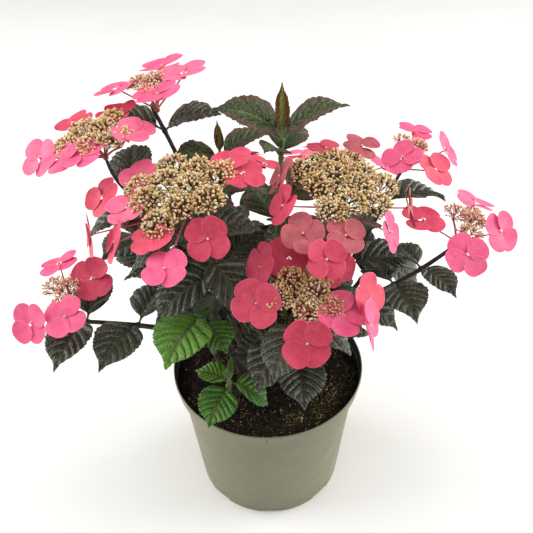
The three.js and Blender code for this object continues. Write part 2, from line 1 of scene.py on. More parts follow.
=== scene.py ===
"""Looks of a potted lacecap hydrangea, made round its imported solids.

The plant is grown again by the rule of its solids, in millimetres, and carried to finer
leaves, sepals and buds. Each piece is then made in metres.
"""

import math

import bpy
import numpy as np
from mathutils import Matrix, Vector, noise


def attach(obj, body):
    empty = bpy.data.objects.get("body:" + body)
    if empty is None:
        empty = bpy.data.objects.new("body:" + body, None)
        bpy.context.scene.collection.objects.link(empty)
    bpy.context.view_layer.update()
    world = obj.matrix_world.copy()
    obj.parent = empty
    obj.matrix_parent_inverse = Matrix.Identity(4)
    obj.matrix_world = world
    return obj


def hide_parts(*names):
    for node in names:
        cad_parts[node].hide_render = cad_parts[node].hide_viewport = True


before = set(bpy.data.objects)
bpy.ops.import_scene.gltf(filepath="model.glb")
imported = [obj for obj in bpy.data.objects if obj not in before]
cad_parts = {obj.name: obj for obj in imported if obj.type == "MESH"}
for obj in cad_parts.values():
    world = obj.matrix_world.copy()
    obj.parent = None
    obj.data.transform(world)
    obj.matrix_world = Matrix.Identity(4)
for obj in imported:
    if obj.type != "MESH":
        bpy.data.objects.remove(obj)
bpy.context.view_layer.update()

MM = 0.001
GAP = 0.3  # between two pieces that touch
DEGREE = math.pi / 180
GOLDEN_TURN = 137.5 * DEGREE
LEAF_SEED, FLORET_SEED, HEAD_SEED, SOIL_SEED = 100, 7, 11, 23

# ---- Sizes of the pot and its soil ----

POT_HEIGHT = 184.5
POT_BASE_RADIUS = 90
POT_RIM_RADIUS = 115
POT_WALL = 1.7
POT_BAND = 19  # height of the band under the rim
POT_DRAW = 2.5  # the band's foot is this much narrower than the rim
POT_STEP = 5.5  # the band stands this far out of the tapering wall
POT_CHAMFER = 2
DRAIN_NOTCHES = 8
NOTCH_SIZE = dict(width=25, depth=4.5, height=5)
SOIL_TOP = 172
SOIL_SHOULDER = 2.5  # how far the soil falls away towards the pot's wall

# ---- The crown ----

CROWN = ((-5, -5, 330), (285, 225, 260))  # middle and radii: no leaf grows out of it
ONWARD = 0.45  # share of its length over which a limb keeps its carrier's direction
SIDE_SAG = 0.16  # of its level run: how far a side shoot bows down
STEM_RADII = (3.1, 2.2)
STALK_RADII = (2.1, 1.7)
FOOT_FLARE = 1.45
FLARE_LENGTH = 0.12
CANE_TAPER = 0.78
BOUGH_TAPER = 0.85

# A cane: its foot on the soil, its tip, its radius and how far it bows.
CANES = {
    "cane_left": ((-30, -6), (-72, 2, 318), 4.4, -8),
    "cane_centre_left": ((-14, -24), (-42, -40, 318), 4.2, -6),
    "cane_back_left": ((-14, 24), (-54, 44, 322), 4.4, -8),
    "cane_centre": ((4, 6), (12, 12, 330), 4.6, 0),
    "cane_centre_right": ((16, -18), (42, -26, 312), 4.4, -6),
    "cane_right": ((32, 6), (74, 14, 298), 4.8, -10),
    "cane_back_right": ((18, 34), (52, 76, 268), 4.2, -6),
    "cane_back": ((-4, 40), (-26, 84, 262), 4, -6),
    "cane_green": ((-36, -38), (-58, -64, 272), 3.2, -4),
    "cane_sucker": ((-46, -62), (-45, -68, 204), 2.4, 0),
}
# A bough: the cane that it leaves, where, its tip, its radius and how far it bows.
BOUGHS = {
    "bough_low_left": ("cane_left", 0.62, (-122, -38, 286), 3.4, -6),
    "bough_front": ("cane_centre_right", 0.5, (30, -66, 296), 3.4, -5),
    "bough_far_right": ("cane_right", 0.8, (124, -2, 296), 3.6, -5),
    "bough_low_front": ("cane_centre_left", 0.34, (8, -52, 236), 3, -3),
}


def leafy(on, tip, leaf, *pairs, **more):
    """A leafy shoot: what it grows on, its tip, its leaves' length, and the place and
    heading of each pair of opposite leaves."""
    return dict(on=on, tip=tip, leaf=leaf, pairs=pairs, **more)


def ringed(at, disc, lumps, floret, tints, *florets):
    """A flower head: the middle and radius of its fertile disc, its lumps of buds, its
    sterile florets' size, a letter for each one's pink, and the florets as azimuth, reach,
    tilt and the heading that they tilt to."""
    return dict(at=at, disc=disc, lumps=lumps, floret=floret, tints=tints, florets=florets)


SHOOTS = {
    "leaves_top_left": leafy(
        "cane_back_left", (-113, 78, 492), 76, (0.3, 130), (0.6, 35), (0.88, 350, 0.95), lift=80
    ),
    "leaves_green_back": leafy(
        "cane_back_left", (-46, 62, 448), 60, (0.45, 170), (0.72, 80), (0.96, 194), at=0.7,
        young=0.62, lift=34
    ),
    "leaves_left": leafy(
        "cane_left", (-142, 14, 436), 82, (0.22, 20), (0.5, 110), (0.76, 195), (0.94, 100)
    ),
    "leaves_centre_left": leafy(
        "cane_centre_left", (-72, -54, 436), 80, (0.16, 300), (0.42, 215), (0.68, 300),
        (0.93, 200)
    ),
    "leaves_low_left": leafy(
        "bough_low_left", (-198, -58, 318), 74, (0.3, 62), (0.93, 76), lift=12
    ),
    "leaves_top": leafy(
        "cane_centre", (20, 20, 492), 80, (0.14, 20), (0.36, 105), (0.54, 10),
        (0.86, 250, 0.85), (0.98, 172), young=0.76, lift=28
    ),
    "leaves_centre_right": leafy(
        "cane_centre_right", (73, -36, 422), 80, (0.2, 330), (0.5, 60), (0.78, 325), (0.94, 50)
    ),
    "leaves_upper_right": leafy(
        "cane_right", (138, 50, 398), 80, (0.35, 10), (0.64, 95), (0.93, 15), at=0.93
    ),
    "leaves_far_right": leafy(
        "bough_far_right", (201, -8, 366), 74, (0.26, 286), (0.62, 298, 0.74)
    ),
    "leaves_front": leafy(
        "bough_front", (36, -98, 352), 78, (0.12, 225), (0.5, 350), (0.88, 60), droop=1.4
    ),
    "leaves_green_left": leafy(
        "cane_green", (-67, -66, 328), 73, (0.88, 125, 0.62), (1, 240), wide=0.88
    ),
    "leaves_sucker": leafy(
        "cane_sucker", (-42, -92, 254), 52, (0.55, 248), (0.94, 168), wide=0.8, young=0.6
    ),
    "leaves_low_front": leafy(
        "bough_low_front", (36, -58, 254), 72, (0.3, 190), (0.97, 270), wide=0.78
    ),
    "leaves_low_right": leafy(
        "cane_right", (74, -60, 300), 70, (0.35, 10), (0.65, 60), (0.94, 352), at=0.5
    ),
    "leaves_side_left": leafy(
        "cane_left", (-142, 66, 330), 80, (0.4, 60), (0.66, 150), (0.93, 60), at=0.8
    ),
    "leaves_side_right": leafy(
        "cane_right", (142, 66, 310), 80, (0.4, 330), (0.66, 60), (0.93, 330), at=0.66
    ),
    "leaves_back_left": leafy(
        "cane_back", (-40, 124, 332), 82, (0.2, 20), (0.55, 100), (0.92, 190)
    ),
    "leaves_back_right": leafy(
        "cane_back_right", (82, 122, 336), 82, (0.2, 330), (0.55, 55), (0.92, 140)
    ),
    "leaves_low_back": leafy(
        "cane_back", (16, 138, 262), 76, (0.4, 10), (0.7, 90), (0.95, 10), at=0.62
    ),
    "leaves_low_back_left": leafy(
        "cane_back_left", (-104, 96, 262), 78, (0.4, 50), (0.68, 130), (0.94, 50), at=0.5
    ),
}
HEADS = {
    "head_top_left": ringed(
        (-113, 60, 531), 25, 4, 52, "bbpb", (160, 36, 2), (-70, 40, 4), (5, 38, 6), (82, 58, 2)
    ),
    "head_left": ringed(
        (-166, 20, 499), 38, 6, 45, "pbbddp", (-172, 60, 40, -120), (-140, 42, 12),
        (-100, 38, 5), (125, 54, 4), (58, 38, 4), (-20, 46)
    ),
    "head_centre_left": ringed(
        (-78, -60, 484), 52, 10, 44, "cpcccbdcdp", (165, 84, 28, -150), (-172, 52, 4),
        (-165, 92, 72), (-145, 74, 50, 190), (-115, 56, 6, 90), (-98, 84, 8),
        (-65, 66, 48, -90), (35, 58, 14, 80), (12, 62, 26), (140, 54, 5)
    ),
    "head_low_left": ringed(
        (-209, -60, 362), 26, 4, 47, "bdbb", (105, 48, 14), (15, 34, 40, -80),
        (-130, 44, 46, -110), (-75, 38, 22)
    ),
    "head_centre_right": ringed(
        (80, -40, 470), 51, 10, 41, "cuuduudbu", (105, 60, 22), (72, 82, 4), (175, 64, 70),
        (-152, 70, 66, 190), (-125, 78, 24), (-95, 62, 12), (-105, 92, 38, -80),
        (-50, 62, 48, -20), (-8, 64, 66)
    ),
    "head_upper_right": ringed(
        (159, 60, 450), 22, 4, 44, "bbcb", (75, 54, 4), (20, 46, 42, -10), (-65, 46, 28),
        (-115, 36, 42, -150)
    ),
    "head_far_right": ringed(
        (210, -10, 402), 26, 4, 48, "pbbd", (65, 44, 14), (-10, 38, 40, -60), (-100, 54, 38),
        (-168, 50, 8)
    ),
    "head_front": ringed(
        (37, -110, 400), 36, 6, 51, "dcdddbcb", (145, 50, 60, 185), (-165, 48, 46, -110),
        (-90, 54, 46), (110, 40, 10, -90), (50, 46, 38, -60), (-35, 42, 5), (-3, 62, 48, -20),
        (-28, 68, 64, -10)
    ),
    "head_back_left": ringed(
        (-44, 138, 380), 34, 5, 46, "bpbc", (175, 50), (115, 48), (60, 50), (-5, 46)
    ),
    "head_back_right": ringed(
        (92, 134, 386), 36, 5, 46, "pbcb", (170, 48), (115, 50), (60, 48), (5, 52)
    ),
}

LEAF_WIDTH = 0.64  # of its length
PETIOLE = 0.14  # of its length
STALK = 1.5  # half the petiole's width
FOLD = 12 * DEGREE
LEAF_PEAK = 0.72  # moves the widest place towards the root
LEAF_BLUNT = 0.85
CHECK_ALONG = 0.3 + 0.1 * np.arange(8)
CHECK_ACROSS = np.array((-0.92, -0.46, 0, 0.46, 0.92))
SIZE_SPREAD = 0.08
DROOPING_RISE = 0.3
RISE = (24 * DEGREE, 12 * DEGREE)  # mean and spread
BEND = (62 * DEGREE, 16 * DEGREE)
TURN_SPREAD = 9 * DEGREE
ROLL_SPREAD = 14 * DEGREE
YOUNG = dict(at=0.99, rise=72 * DEGREE, bend=-14 * DEGREE, wide=0.26, turn=90 * DEGREE)
TRIES = (0, -14, 14, -28, 28, -42)  # a leaf that would touch rises by these degrees
TRY_SIZES = (1, 0.8)
LEAF_BALL = 0.06  # of its length: the radius kept free round a point of a leaf
LEAF_CLEAR = 1.5
BALL_STEP = 8
LIFT_GATHER = 8  # the power that keeps a shoot's lift to its topmost leaves
POT_CLEAR = 10

HEAD_LEAN = 16 * DEGREE
HUB_DEPTH = 27
DISC_DOME = 11
DISC_LIFT = 4
LUMP_SPREAD = 0.86
LUMP_SIZE = 0.7
FLORET_LIFT = 8
FLORET_FALL = 0.2
FLORET_TILT = (6, 0.35)  # degrees, and degrees for each millimetre of reach
FLORET_NOTCH = 0.72
FLORET_ROOM = 9


# ---- Curves, limbs and frames ----

def vec(*p):
    return np.array(p, float)


def unit(v):
    return v / np.linalg.norm(v, axis=-1, keepdims=True)


def point(curve, t):
    a, b, c = curve
    t = np.asarray(t, float)[..., None]
    return (1 - t) ** 2 * a + 2 * (1 - t) * t * b + t * t * c


def tangent(curve, t):
    step = 1e-4
    return unit(point(curve, min(1, t + step)) - point(curve, max(0, t - step)))


def length(curve):
    steps = point(curve, np.linspace(0, 1, 201))
    return np.linalg.norm(np.diff(steps, axis=0), axis=1).sum()


def bowed(a, b, sag):
    """A curve from a to b whose middle is moved up by `sag`."""
    return a, (a + b) / 2 + vec(0, 0, 2 * sag), b


def onward(carrier, b):
    """A curve that grows straight on from another's tip, a gap clear of it, to b."""
    along = tangent(carrier, 1)
    a = point(carrier, 1) + along * GAP
    return a, a + along * ONWARD * np.linalg.norm(b - a), b


def sideways(carrier, at, b):
    """A curve that leaves another's side at `at`, bowed down, to b."""
    a = point(carrier, at)
    return bowed(a, b, -SIDE_SAG * math.hypot(b[0] - a[0], b[1] - a[1]))


def around(count):
    """Evenly spaced headings of a full turn."""
    return np.arange(count) * 2 * math.pi / count


def polar(out, turn, z):
    return np.stack(np.broadcast_arrays(out * np.cos(turn), out * np.sin(turn), z), -1)


def limb_radius(radii, flare, t):
    swell = 1 + (flare - 1) * np.maximum(0, 1 - t / FLARE_LENGTH)
    return (radii[0] + (radii[1] - radii[0]) * t) * swell


def shift(x, y, z):
    made = np.eye(4)
    made[:3, 3] = x, y, z
    return made


def turned(axis, angle):
    """A turn about X, Y or Z, as a 4 by 4 matrix."""
    made, c, s = np.eye(4), math.cos(angle), math.sin(angle)
    i, j = {"X": (1, 2), "Y": (2, 0), "Z": (0, 1)}[axis]
    made[i, i] = made[j, j] = c
    made[j, i], made[i, j] = s, -s
    return made


def apply(place, points):
    return np.asarray(points, float) @ place[:3, :3].T + place[:3, 3]


def head_frame(head):
    """A head's own frame: its z runs along the head's axis, its x near the plant's X."""
    x, y, _ = head["at"]
    out = math.hypot(x, y)
    lean = math.sin(HEAD_LEAN)
    axis = vec(x / out * lean, y / out * lean, math.cos(HEAD_LEAN))
    across = unit(vec(1, 0, 0) - axis[0] * axis)
    made = shift(*head["at"])
    made[:3, :3] = np.stack((across, np.cross(axis, across), axis), 1)
    return made


def lump_places(head, count, spread=LUMP_SPREAD):
    """The middle of each cluster of buds, laid out as seeds are in a sunflower."""
    i = np.arange(count)
    reach = spread * head["disc"] * np.sqrt((i + 0.5) / count)
    dome = DISC_LIFT - DISC_DOME * (reach / head["disc"]) ** 2
    return polar(reach, i * GOLDEN_TURN, dome)


def lump_radius(head):
    return LUMP_SIZE * head["disc"] / math.sqrt(head["lumps"])


def floret_frame(head, azimuth, reach, tilt=None, heading=None):
    """The frame of one sterile floret: its middle, and its own z out of its face."""
    turn = azimuth * DEGREE
    lean = FLORET_TILT[0] + FLORET_TILT[1] * reach if tilt is None else tilt
    spin = azimuth if heading is None else heading
    place = shift(
        reach * math.cos(turn), reach * math.sin(turn), FLORET_LIFT - FLORET_FALL * reach
    )
    turns = turned("Z", spin * DEGREE) @ turned("Y", lean * DEGREE)
    return head_frame(head) @ place @ turns


def grow_limbs():
    """Each limb's curve, radii and flare, by the limb's name."""
    limbs = {}
    for name, (foot, tip, radius, sag) in CANES.items():
        curve = bowed(vec(*foot, SOIL_TOP + GAP), vec(*tip), sag)
        limbs[name] = curve, (radius, CANE_TAPER * radius), FOOT_FLARE
    for name, (on, at, tip, radius, sag) in BOUGHS.items():
        curve = bowed(point(limbs[on][0], at), vec(*tip), sag)
        limbs[name] = curve, (radius, BOUGH_TAPER * radius), 1
    for name, shoot in SHOOTS.items():
        carrier, tip = limbs[shoot["on"]][0], vec(*shoot["tip"])
        at = shoot.get("at")
        curve = sideways(carrier, at, tip) if at else onward(carrier, tip)
        limbs[name] = curve, STEM_RADII, 1
    for name, head in HEADS.items():
        hub = apply(head_frame(head), (0, 0, -HUB_DEPTH))
        shoot = limbs[name.replace("head", "leaves")][0]
        limbs[name] = onward(shoot, hub), STALK_RADII, 1
    return limbs


LIMBS = grow_limbs()


# ---- Leaves, settled as the solids' leaves are ----

def seeded(seed):
    """The solids' random numbers, from 0 to 1."""
    state = seed

    def low(n):
        return n & 0xFFFFFFFF

    def draw():
        nonlocal state
        state = low(state + 0x6D2B79F5)
        t = low((state ^ (state >> 15)) * (state | 1))
        t ^= low(t + low((t ^ (t >> 7)) * (t | 61)))
        return (t ^ (t >> 14)) / 4294967296

    return draw


def half_width(leaf, t):
    u = (t - PETIOLE) / (1 - PETIOLE)
    blade = np.sin(np.pi * np.clip(u, 0, 1) ** LEAF_PEAK).clip(0) ** LEAF_BLUNT
    wide = np.maximum(STALK * (1 - u), leaf["length"] * leaf["wide"] * blade / 2)
    return np.where(t <= PETIOLE, STALK, wide)


def leaf_place(leaf, t, wide, high):
    """A leaf bends along an arc: t runs from 0 at its root to 1 at its tip."""
    start, bend, heading = leaf["rise"], leaf["bend"], leaf["heading"]
    rise = start - bend * t
    run = (math.sin(start) - np.sin(rise)) * (leaf["length"] / bend)
    climb = (np.cos(rise) - math.cos(start)) * (leaf["length"] / bend)
    ahead = vec(math.cos(heading), math.sin(heading), 0)
    side = vec(-ahead[1], ahead[0], 0)
    normal = -np.sin(rise)[..., None] * ahead + np.cos(rise)[..., None] * vec(0, 0, 1)
    c, s = math.cos(leaf["roll"]), math.sin(leaf["roll"])
    return (
        leaf["root"]
        + run[..., None] * ahead
        + climb[..., None] * vec(0, 0, 1)
        + (wide * c - high * s)[..., None] * side
        + (wide * s + high * c)[..., None] * normal
    )


def leaf_samples(leaf):
    t = np.repeat(CHECK_ALONG, len(CHECK_ACROSS))
    wide = half_width(leaf, t) * np.tile(CHECK_ACROSS, len(CHECK_ALONG))
    return leaf_place(leaf, t, wide, np.abs(wide) * math.tan(FOLD))


class Balls:
    """What is already grown: balls that a new leaf keeps clear of."""

    def __init__(self):
        self.points = np.zeros((0, 3))
        self.radii = np.zeros(0)
        self.owners = np.zeros(0, int)
        self.names = {}

    def take(self, points, radii, owner):
        points = np.atleast_2d(points)
        number = self.names.setdefault(owner, len(self.names))
        self.points = np.concatenate((self.points, points))
        self.radii = np.append(self.radii, np.broadcast_to(radii, len(points)))
        self.owners = np.append(self.owners, np.full(len(points), number))

    def clear(self, points, free, owner):
        other = self.owners != self.names[owner]
        gaps = np.linalg.norm(points[:, None] - self.points[other], axis=2)
        return (gaps > self.radii[other] + free).all()


def take_all(balls):
    for name, (curve, radii, flare) in LIMBS.items():
        steps = math.ceil(length(curve) / BALL_STEP)
        t = np.arange(steps + 1) / steps
        balls.take(point(curve, t), limb_radius(radii, flare, t) + 1, name)
    for name, head in HEADS.items():
        lumps = apply(head_frame(head), lump_places(head, head["lumps"]))
        balls.take(lumps, lump_radius(head) + 2, name)
        ring = polar(FLORET_NOTCH * 0.5 * head["floret"], around(8), 1)
        for floret in head["florets"]:
            place = floret_frame(head, *floret)
            balls.take(place[:3, 3], FLORET_ROOM, name)
            balls.take(apply(place, ring), FLORET_ROOM - 1, name)


def has_room(leaf, balls, owner):
    points = leaf_samples(leaf)
    middle, radii = CROWN
    if (np.linalg.norm((points - vec(*middle)) / vec(*radii), axis=1) >= 1).any():
        return False
    out = np.hypot(points[:, 0], points[:, 1])
    over_soil = (points[:, 2] > SOIL_TOP + 6) & (out < POT_RIM_RADIUS - POT_CLEAR)
    if not ((points[:, 2] > POT_HEIGHT + 5) | over_soil).all():
        return False
    return balls.clear(points, LEAF_BALL * leaf["length"] + LEAF_CLEAR, owner)


def settle(leaf, balls, owner):
    """Tries a leaf at several rises and two sizes, and skips it where none has room."""
    for size in TRY_SIZES:
        for turn in TRIES:
            tried = dict(leaf, length=leaf["length"] * size, rise=leaf["rise"] + turn * DEGREE)
            if has_room(tried, balls, owner):
                balls.take(leaf_samples(tried), LEAF_BALL * tried["length"], "leaf")
                return [tried]
    return []


def shoot_leaves(name, shoot, seed, balls):
    draw = seeded(seed)
    lift = shoot.get("lift", 0) * DEGREE
    droop = shoot.get("droop", 1)
    leaves = []

    def spread(mean, width):
        return mean + width * (2 * draw() - 1)

    def grow(at, heading, size, young):
        for side in (0, math.pi):
            leaf = dict(root=point(LIMBS[name][0], at), young=young)
            leaf["heading"] = spread(heading + side, TURN_SPREAD)
            leaf["rise"] = YOUNG["rise"] if young else spread(*RISE) + lift * at**LIFT_GATHER
            leaf["bend"] = (YOUNG["bend"] if young else spread(*BEND)) * droop
            leaf["length"] = shoot["leaf"] * size * (1 if young else spread(1, SIZE_SPREAD))
            leaf["roll"] = spread(0, ROLL_SPREAD)
            leaf["wide"] = YOUNG["wide"] if young else shoot.get("wide", LEAF_WIDTH)
            if droop != 1 and not young:
                leaf["rise"] *= DROOPING_RISE
            leaves.extend(settle(leaf, balls, name))

    for at, heading, *size in shoot["pairs"]:
        grow(at, heading * DEGREE, *(size or [1]), False)
    if shoot.get("young"):
        grow(YOUNG["at"], shoot["pairs"][-1][1] * DEGREE + YOUNG["turn"], shoot["young"], True)
    return leaves


def grow_leaves():
    balls = Balls()
    take_all(balls)
    return {
        name: shoot_leaves(name, shoot, i + 1, balls)
        for i, (name, shoot) in enumerate(SHOOTS.items())
    }


LEAVES = grow_leaves()


# ---- Joined meshes ----

CELL_MARGIN = 0.03


class Pile:
    """Closed grids of one kind, joined into one mesh, each with a cell of the bake's map."""

    def __init__(self):
        self.points, self.faces, self.zones, self.maps = [], [], [], []
        self.corners = 0
        self.cells = 0

    def add(self, points, zones=0, ends=(None, None)):
        """points: (count, rows, ring, 3) in millimetres, each row a closed ring, and the
        first and last rows capped round their middles or `ends`. zones: the material of
        each quad."""
        points = np.asarray(points, float)
        if points.ndim == 3:
            points = points[None]
        count, rows, ring = points.shape[:3]
        caps = [
            points[:, row].mean(1) if end is None else np.broadcast_to(end, (count, 3))
            for row, end in zip((0, -1), ends)
        ]
        whole = np.concatenate((points.reshape(count, -1, 3), np.stack(caps, 1)), 1)
        zones = np.broadcast_to(zones, (count, rows - 1, ring))
        i, j = np.mgrid[: rows - 1, :ring]
        k, step = (j + 1) % ring, 1 / (rows + 1)
        quads = np.stack((j, k, k, j), -1) + ring * np.stack((i, i, i + 1, i + 1), -1)
        left, right, low, high = j / ring, (j + 1) / ring, (i + 1) * step, (i + 2) * step
        quad_map = np.stack((left, low, right, low, right, high, left, high), -1)
        groups = [(quads.reshape(-1, 4), quad_map.reshape(-1, 4, 2), zones.reshape(count, -1))]
        j = np.arange(ring)
        for end, one, other in ((0, 1, 0), (1, 0, 1)):  # the foot's faces turn the other way
            first, pole = end * (rows - 1) * ring, np.full(ring, rows * ring + end)
            faces = (first + (j + one) % ring, first + (j + other) % ring, pole)
            edge = np.full(ring, abs(end - step))
            spots = (
                (j + one) / ring, edge, (j + other) / ring, edge, (j + 0.5) / ring,
                np.full(ring, end),
            )
            spots = np.stack(spots, -1).reshape(-1, 3, 2)
            groups.append((np.stack(faces, -1), spots, zones[:, -end]))
        outward = self.volume(whole[0], groups) > 0
        start = self.corners + np.arange(count) * whole.shape[1]
        cell = self.cells + np.arange(count)
        for faces, spots, marks in groups:
            if not outward:
                faces, spots = faces[:, ::-1], spots[:, ::-1]
            self.faces.append((start[:, None, None] + faces).reshape(-1, faces.shape[1]))
            numbers = np.broadcast_to(cell[:, None, None, None], (count, *spots.shape[:2], 1))
            places = np.broadcast_to(spots, (count, *spots.shape))
            self.maps.append(np.concatenate((places, numbers), -1).reshape(-1, 3))
            self.zones.append(marks.reshape(-1))
        self.points.append(whole.reshape(-1, 3))
        self.corners += whole.shape[0] * whole.shape[1]
        self.cells += count

    @staticmethod
    def volume(points, groups):
        total = 0
        for faces, _, _ in groups:
            p = points[faces]
            for n in range(2, p.shape[1]):
                total += (p[:, 0] * np.cross(p[:, n - 1], p[:, n])).sum()
        return total

    def build(self, name, materials, slot, nodes):
        points = np.concatenate(self.points) * MM
        sizes = np.concatenate([np.full(len(f), f.shape[1]) for f in self.faces])
        corners = np.concatenate([f.reshape(-1) for f in self.faces])
        spots = np.concatenate(self.maps)
        side = math.ceil(math.sqrt(self.cells))
        cell = np.stack((spots[:, 2] % side, spots[:, 2] // side), 1)
        inner = CELL_MARGIN + (1 - 2 * CELL_MARGIN) * spots[:, :2]
        starts = np.concatenate(((0,), np.cumsum(sizes)[:-1]))
        mesh = bpy.data.meshes.new(name)
        mesh.vertices.add(len(points))
        mesh.loops.add(len(corners))
        mesh.polygons.add(len(sizes))
        for part, key, values in (
            (mesh.vertices, "co", points.astype(np.float32)),
            (mesh.loops, "vertex_index", corners.astype(np.int32)),
            (mesh.polygons, "loop_start", starts.astype(np.int32)),
            (mesh.polygons, "material_index", np.concatenate(self.zones).astype(np.int32)),
            (mesh.polygons, "use_smooth", np.ones(len(sizes), bool)),
        ):
            part.foreach_set(key, values.ravel())
        mesh.update(calc_edges=True)
        for material in materials:
            mesh.materials.append(material)
        layer = mesh.uv_layers.new(name="OFBake")
        layer.data.foreach_set("uv", ((cell + inner) / side).astype(np.float32).ravel())
        piece = bpy.data.objects.new(name, mesh)
        bpy.context.scene.collection.objects.link(piece)
        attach(piece, "root")
        if nodes:
            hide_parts(*nodes)


def tubes(centres, radii, sides):
    """Rings round each row of centres: (count, rows, 3) gives (count, rows, sides, 3)."""
    centres = np.asarray(centres, float)
    along = unit(np.gradient(centres, axis=1))
    mean = unit(centres[:, -1] - centres[:, 0])
    helper = np.where(np.abs(mean[:, 2:]) < 0.8, vec(0, 0, 1), vec(1, 0, 0))
    side = unit(np.cross(helper, mean))[:, None]
    side = unit(side - along * (side * along).sum(-1, keepdims=True))
    up = np.cross(along, side)
    turn = around(sides)[:, None]
    ring = np.cos(turn) * side[:, :, None] + np.sin(turn) * up[:, :, None]
    radii = np.asarray(radii, float)
    if radii.ndim < 3:
        radii = np.broadcast_to(radii, centres.shape[:2])[..., None]
    return centres[:, :, None] + radii[..., None] * ring


def bends(starts, middles, ends, rows):
    """Rows of centres on the bowed lines from starts by middles to ends."""
    curve = [np.atleast_2d(p)[:, None] for p in (starts, middles, ends)]
    return point(curve, np.linspace(0, 1, rows))


def smooth_step(low, high, x):
    t = np.clip((x - low) / (high - low), 0, 1)
    return t * t * (3 - 2 * t)


# ---- Materials ----

def rgb(text):
    """A colour such as "c0ffee", as the screen shows it, in linear numbers."""
    parts = [int(text[i : i + 2], 16) / 255 for i in (0, 2, 4)]
    return [c / 12.92 if c < 0.04045 else ((c + 0.055) / 1.055) ** 2.4 for c in parts] + [1]


class Finish:
    """A material whose colour, gloss and relief are made of noises."""

    def __init__(self, name, roughness, specular=0.5):
        self.material = bpy.data.materials.new(name)
        self.material.use_nodes = True
        self.nodes = self.material.node_tree.nodes
        self.links = self.material.node_tree.links
        self.inputs = self.nodes["Principled BSDF"].inputs
        self.inputs["Roughness"].default_value = roughness
        self.inputs["Specular IOR Level"].default_value = specular
        self.place = self.add("TexCoord", "Object")

    def add(self, kind, output, **inputs):
        """The output of a new node. inputs: numbers, or the outputs of other nodes."""
        made = self.nodes.new("ShaderNode" + kind)
        for name, value in inputs.items():
            if isinstance(value, bpy.types.NodeSocket):
                self.links.new(value, made.inputs[name])
            else:
                made.inputs[name].default_value = value
        return made.outputs[output]

    def noise(self, scale, detail=4.0, stretch=None):
        place = self.place
        if stretch:
            place = self.add("Mapping", "Vector", Scale=stretch, Vector=place)
        values = dict(Scale=scale, Detail=detail, Roughness=0.55, Vector=place)
        return self.add("TexNoise", "Fac", **values)

    def cells(self, scale):
        """How far each point lies from the edge of its cell."""
        made = self.nodes.new("ShaderNodeTexVoronoi")
        made.feature = "DISTANCE_TO_EDGE"
        made.inputs["Scale"].default_value = scale
        self.links.new(self.place, made.inputs["Vector"])
        return made.outputs["Distance"]

    def ramp(self, value, stops):
        """stops: (place, colour) pairs, a colour as text or as a number for a grey."""
        made = self.add("ValToRGB", "Color", Fac=value)
        points = made.node.color_ramp.elements
        while len(points) < len(stops):
            points.new(0.5)
        for spot, (place, colour) in zip(points, stops):
            spot.position = place
            spot.color = rgb(colour) if isinstance(colour, str) else [colour] * 3 + [1]
        return made

    def mixed(self, value, other, share):
        """The mean of two values, `share` of it the other's."""
        return self.add("Mix", "Result", Factor=share, A=value, B=other)

    def colour(self, value, stops):
        self.links.new(self.ramp(value, stops), self.inputs["Base Color"])

    def gloss(self, value, low, high):
        made = self.ramp(value, ((0.3, low), (0.7, high)))
        self.links.new(made, self.inputs["Roughness"])

    def relief(self, value, depth, strength):
        normal = self.inputs["Normal"]
        below = {"Normal": normal.links[0].from_socket} if normal.links else {}
        values = dict(Distance=depth, Strength=strength, Height=value, **below)
        self.links.new(self.add("Bump", "Normal", **values), normal)


def leaf_finish(name, dark, light, roughness, specular=0.5):
    """A quilted leaf: fine puckers between its small veins."""
    finish = Finish(name, roughness, specular)
    network = finish.ramp(finish.cells(280), ((0.02, 1.0), (0.14, 0.0)))
    tone = finish.mixed(finish.noise(60), network, 0.4)
    finish.colour(tone, ((0.22, dark), (0.62, light)))
    finish.gloss(finish.noise(220), roughness - 0.08, roughness + 0.1)
    finish.relief(finish.cells(280), 0.0018, 0.9)
    finish.relief(finish.noise(900, 3), 0.0004, 0.5)
    return finish.material


def sepal_finish(name, deep, pale, roughness=0.55):
    """A sepal: a soft mottle and a fine one over it."""
    finish = Finish(name, roughness, 0.3)
    tone = finish.mixed(finish.noise(110, 5), finish.noise(620, 3), 0.4)
    finish.colour(tone, ((0.34, deep), (0.64, pale)))
    finish.gloss(finish.noise(300), roughness - 0.06, roughness + 0.08)
    finish.relief(finish.noise(700, 4), 0.0003, 0.4)
    return finish.material


def plain_finish(name, dark, light, roughness, scale, depth, specular=0.5):
    finish = Finish(name, roughness, specular)
    finish.colour(finish.noise(scale), ((0.3, dark), (0.7, light)))
    finish.relief(finish.noise(4 * scale, 5), depth, 0.6)
    return finish.material


# ---- Leaves ----

ACROSS = np.array((0, 0.07, 0.25, 0.45, 0.65, 0.83, 0.95, 1))
WIDE = np.concatenate((-ACROSS[:0:-1], ACROSS))  # places across a leaf, edge to edge
VEINS = 7  # side veins in each half
VEIN_CROWDING = 1.3  # they stand closer towards the root
PHASES = (0, 0.12, 0.3, 0.5, 0.7, 0.88)  # places of the rows between two side veins
TEETH = (1.0, 0.965, 1.035, 0.97, 1.035, 0.965)  # the leaf's edge at those rows
PAINTED_HIGHLIGHT_PHASE = 4  # the strip of painted highlight, where light would catch the blade
STALK_ROWS = (0, 0.35, 0.7)  # of the petiole
LEAF_THICK = 0.5
QUILT = 0.055  # of its length: how far the blade rises between two side veins
SWEEP = 0.5  # how far the side veins run forward to the edge
DRIP = 0.5  # how much narrower the leaf is drawn out towards its tip
RUFFLE, FRILL = 0.016, 0.006  # of its length: how far its edge waves
RUFFLE_WAVES, FRILL_WAVES = 1.4, 5  # along it
KEEL = 0.012  # of its length: how far the midrib stands out below
ROOT_THICK = 1.6  # more than LEAF_THICK, where the blade starts
RIB_TO = 0.05  # of the half width


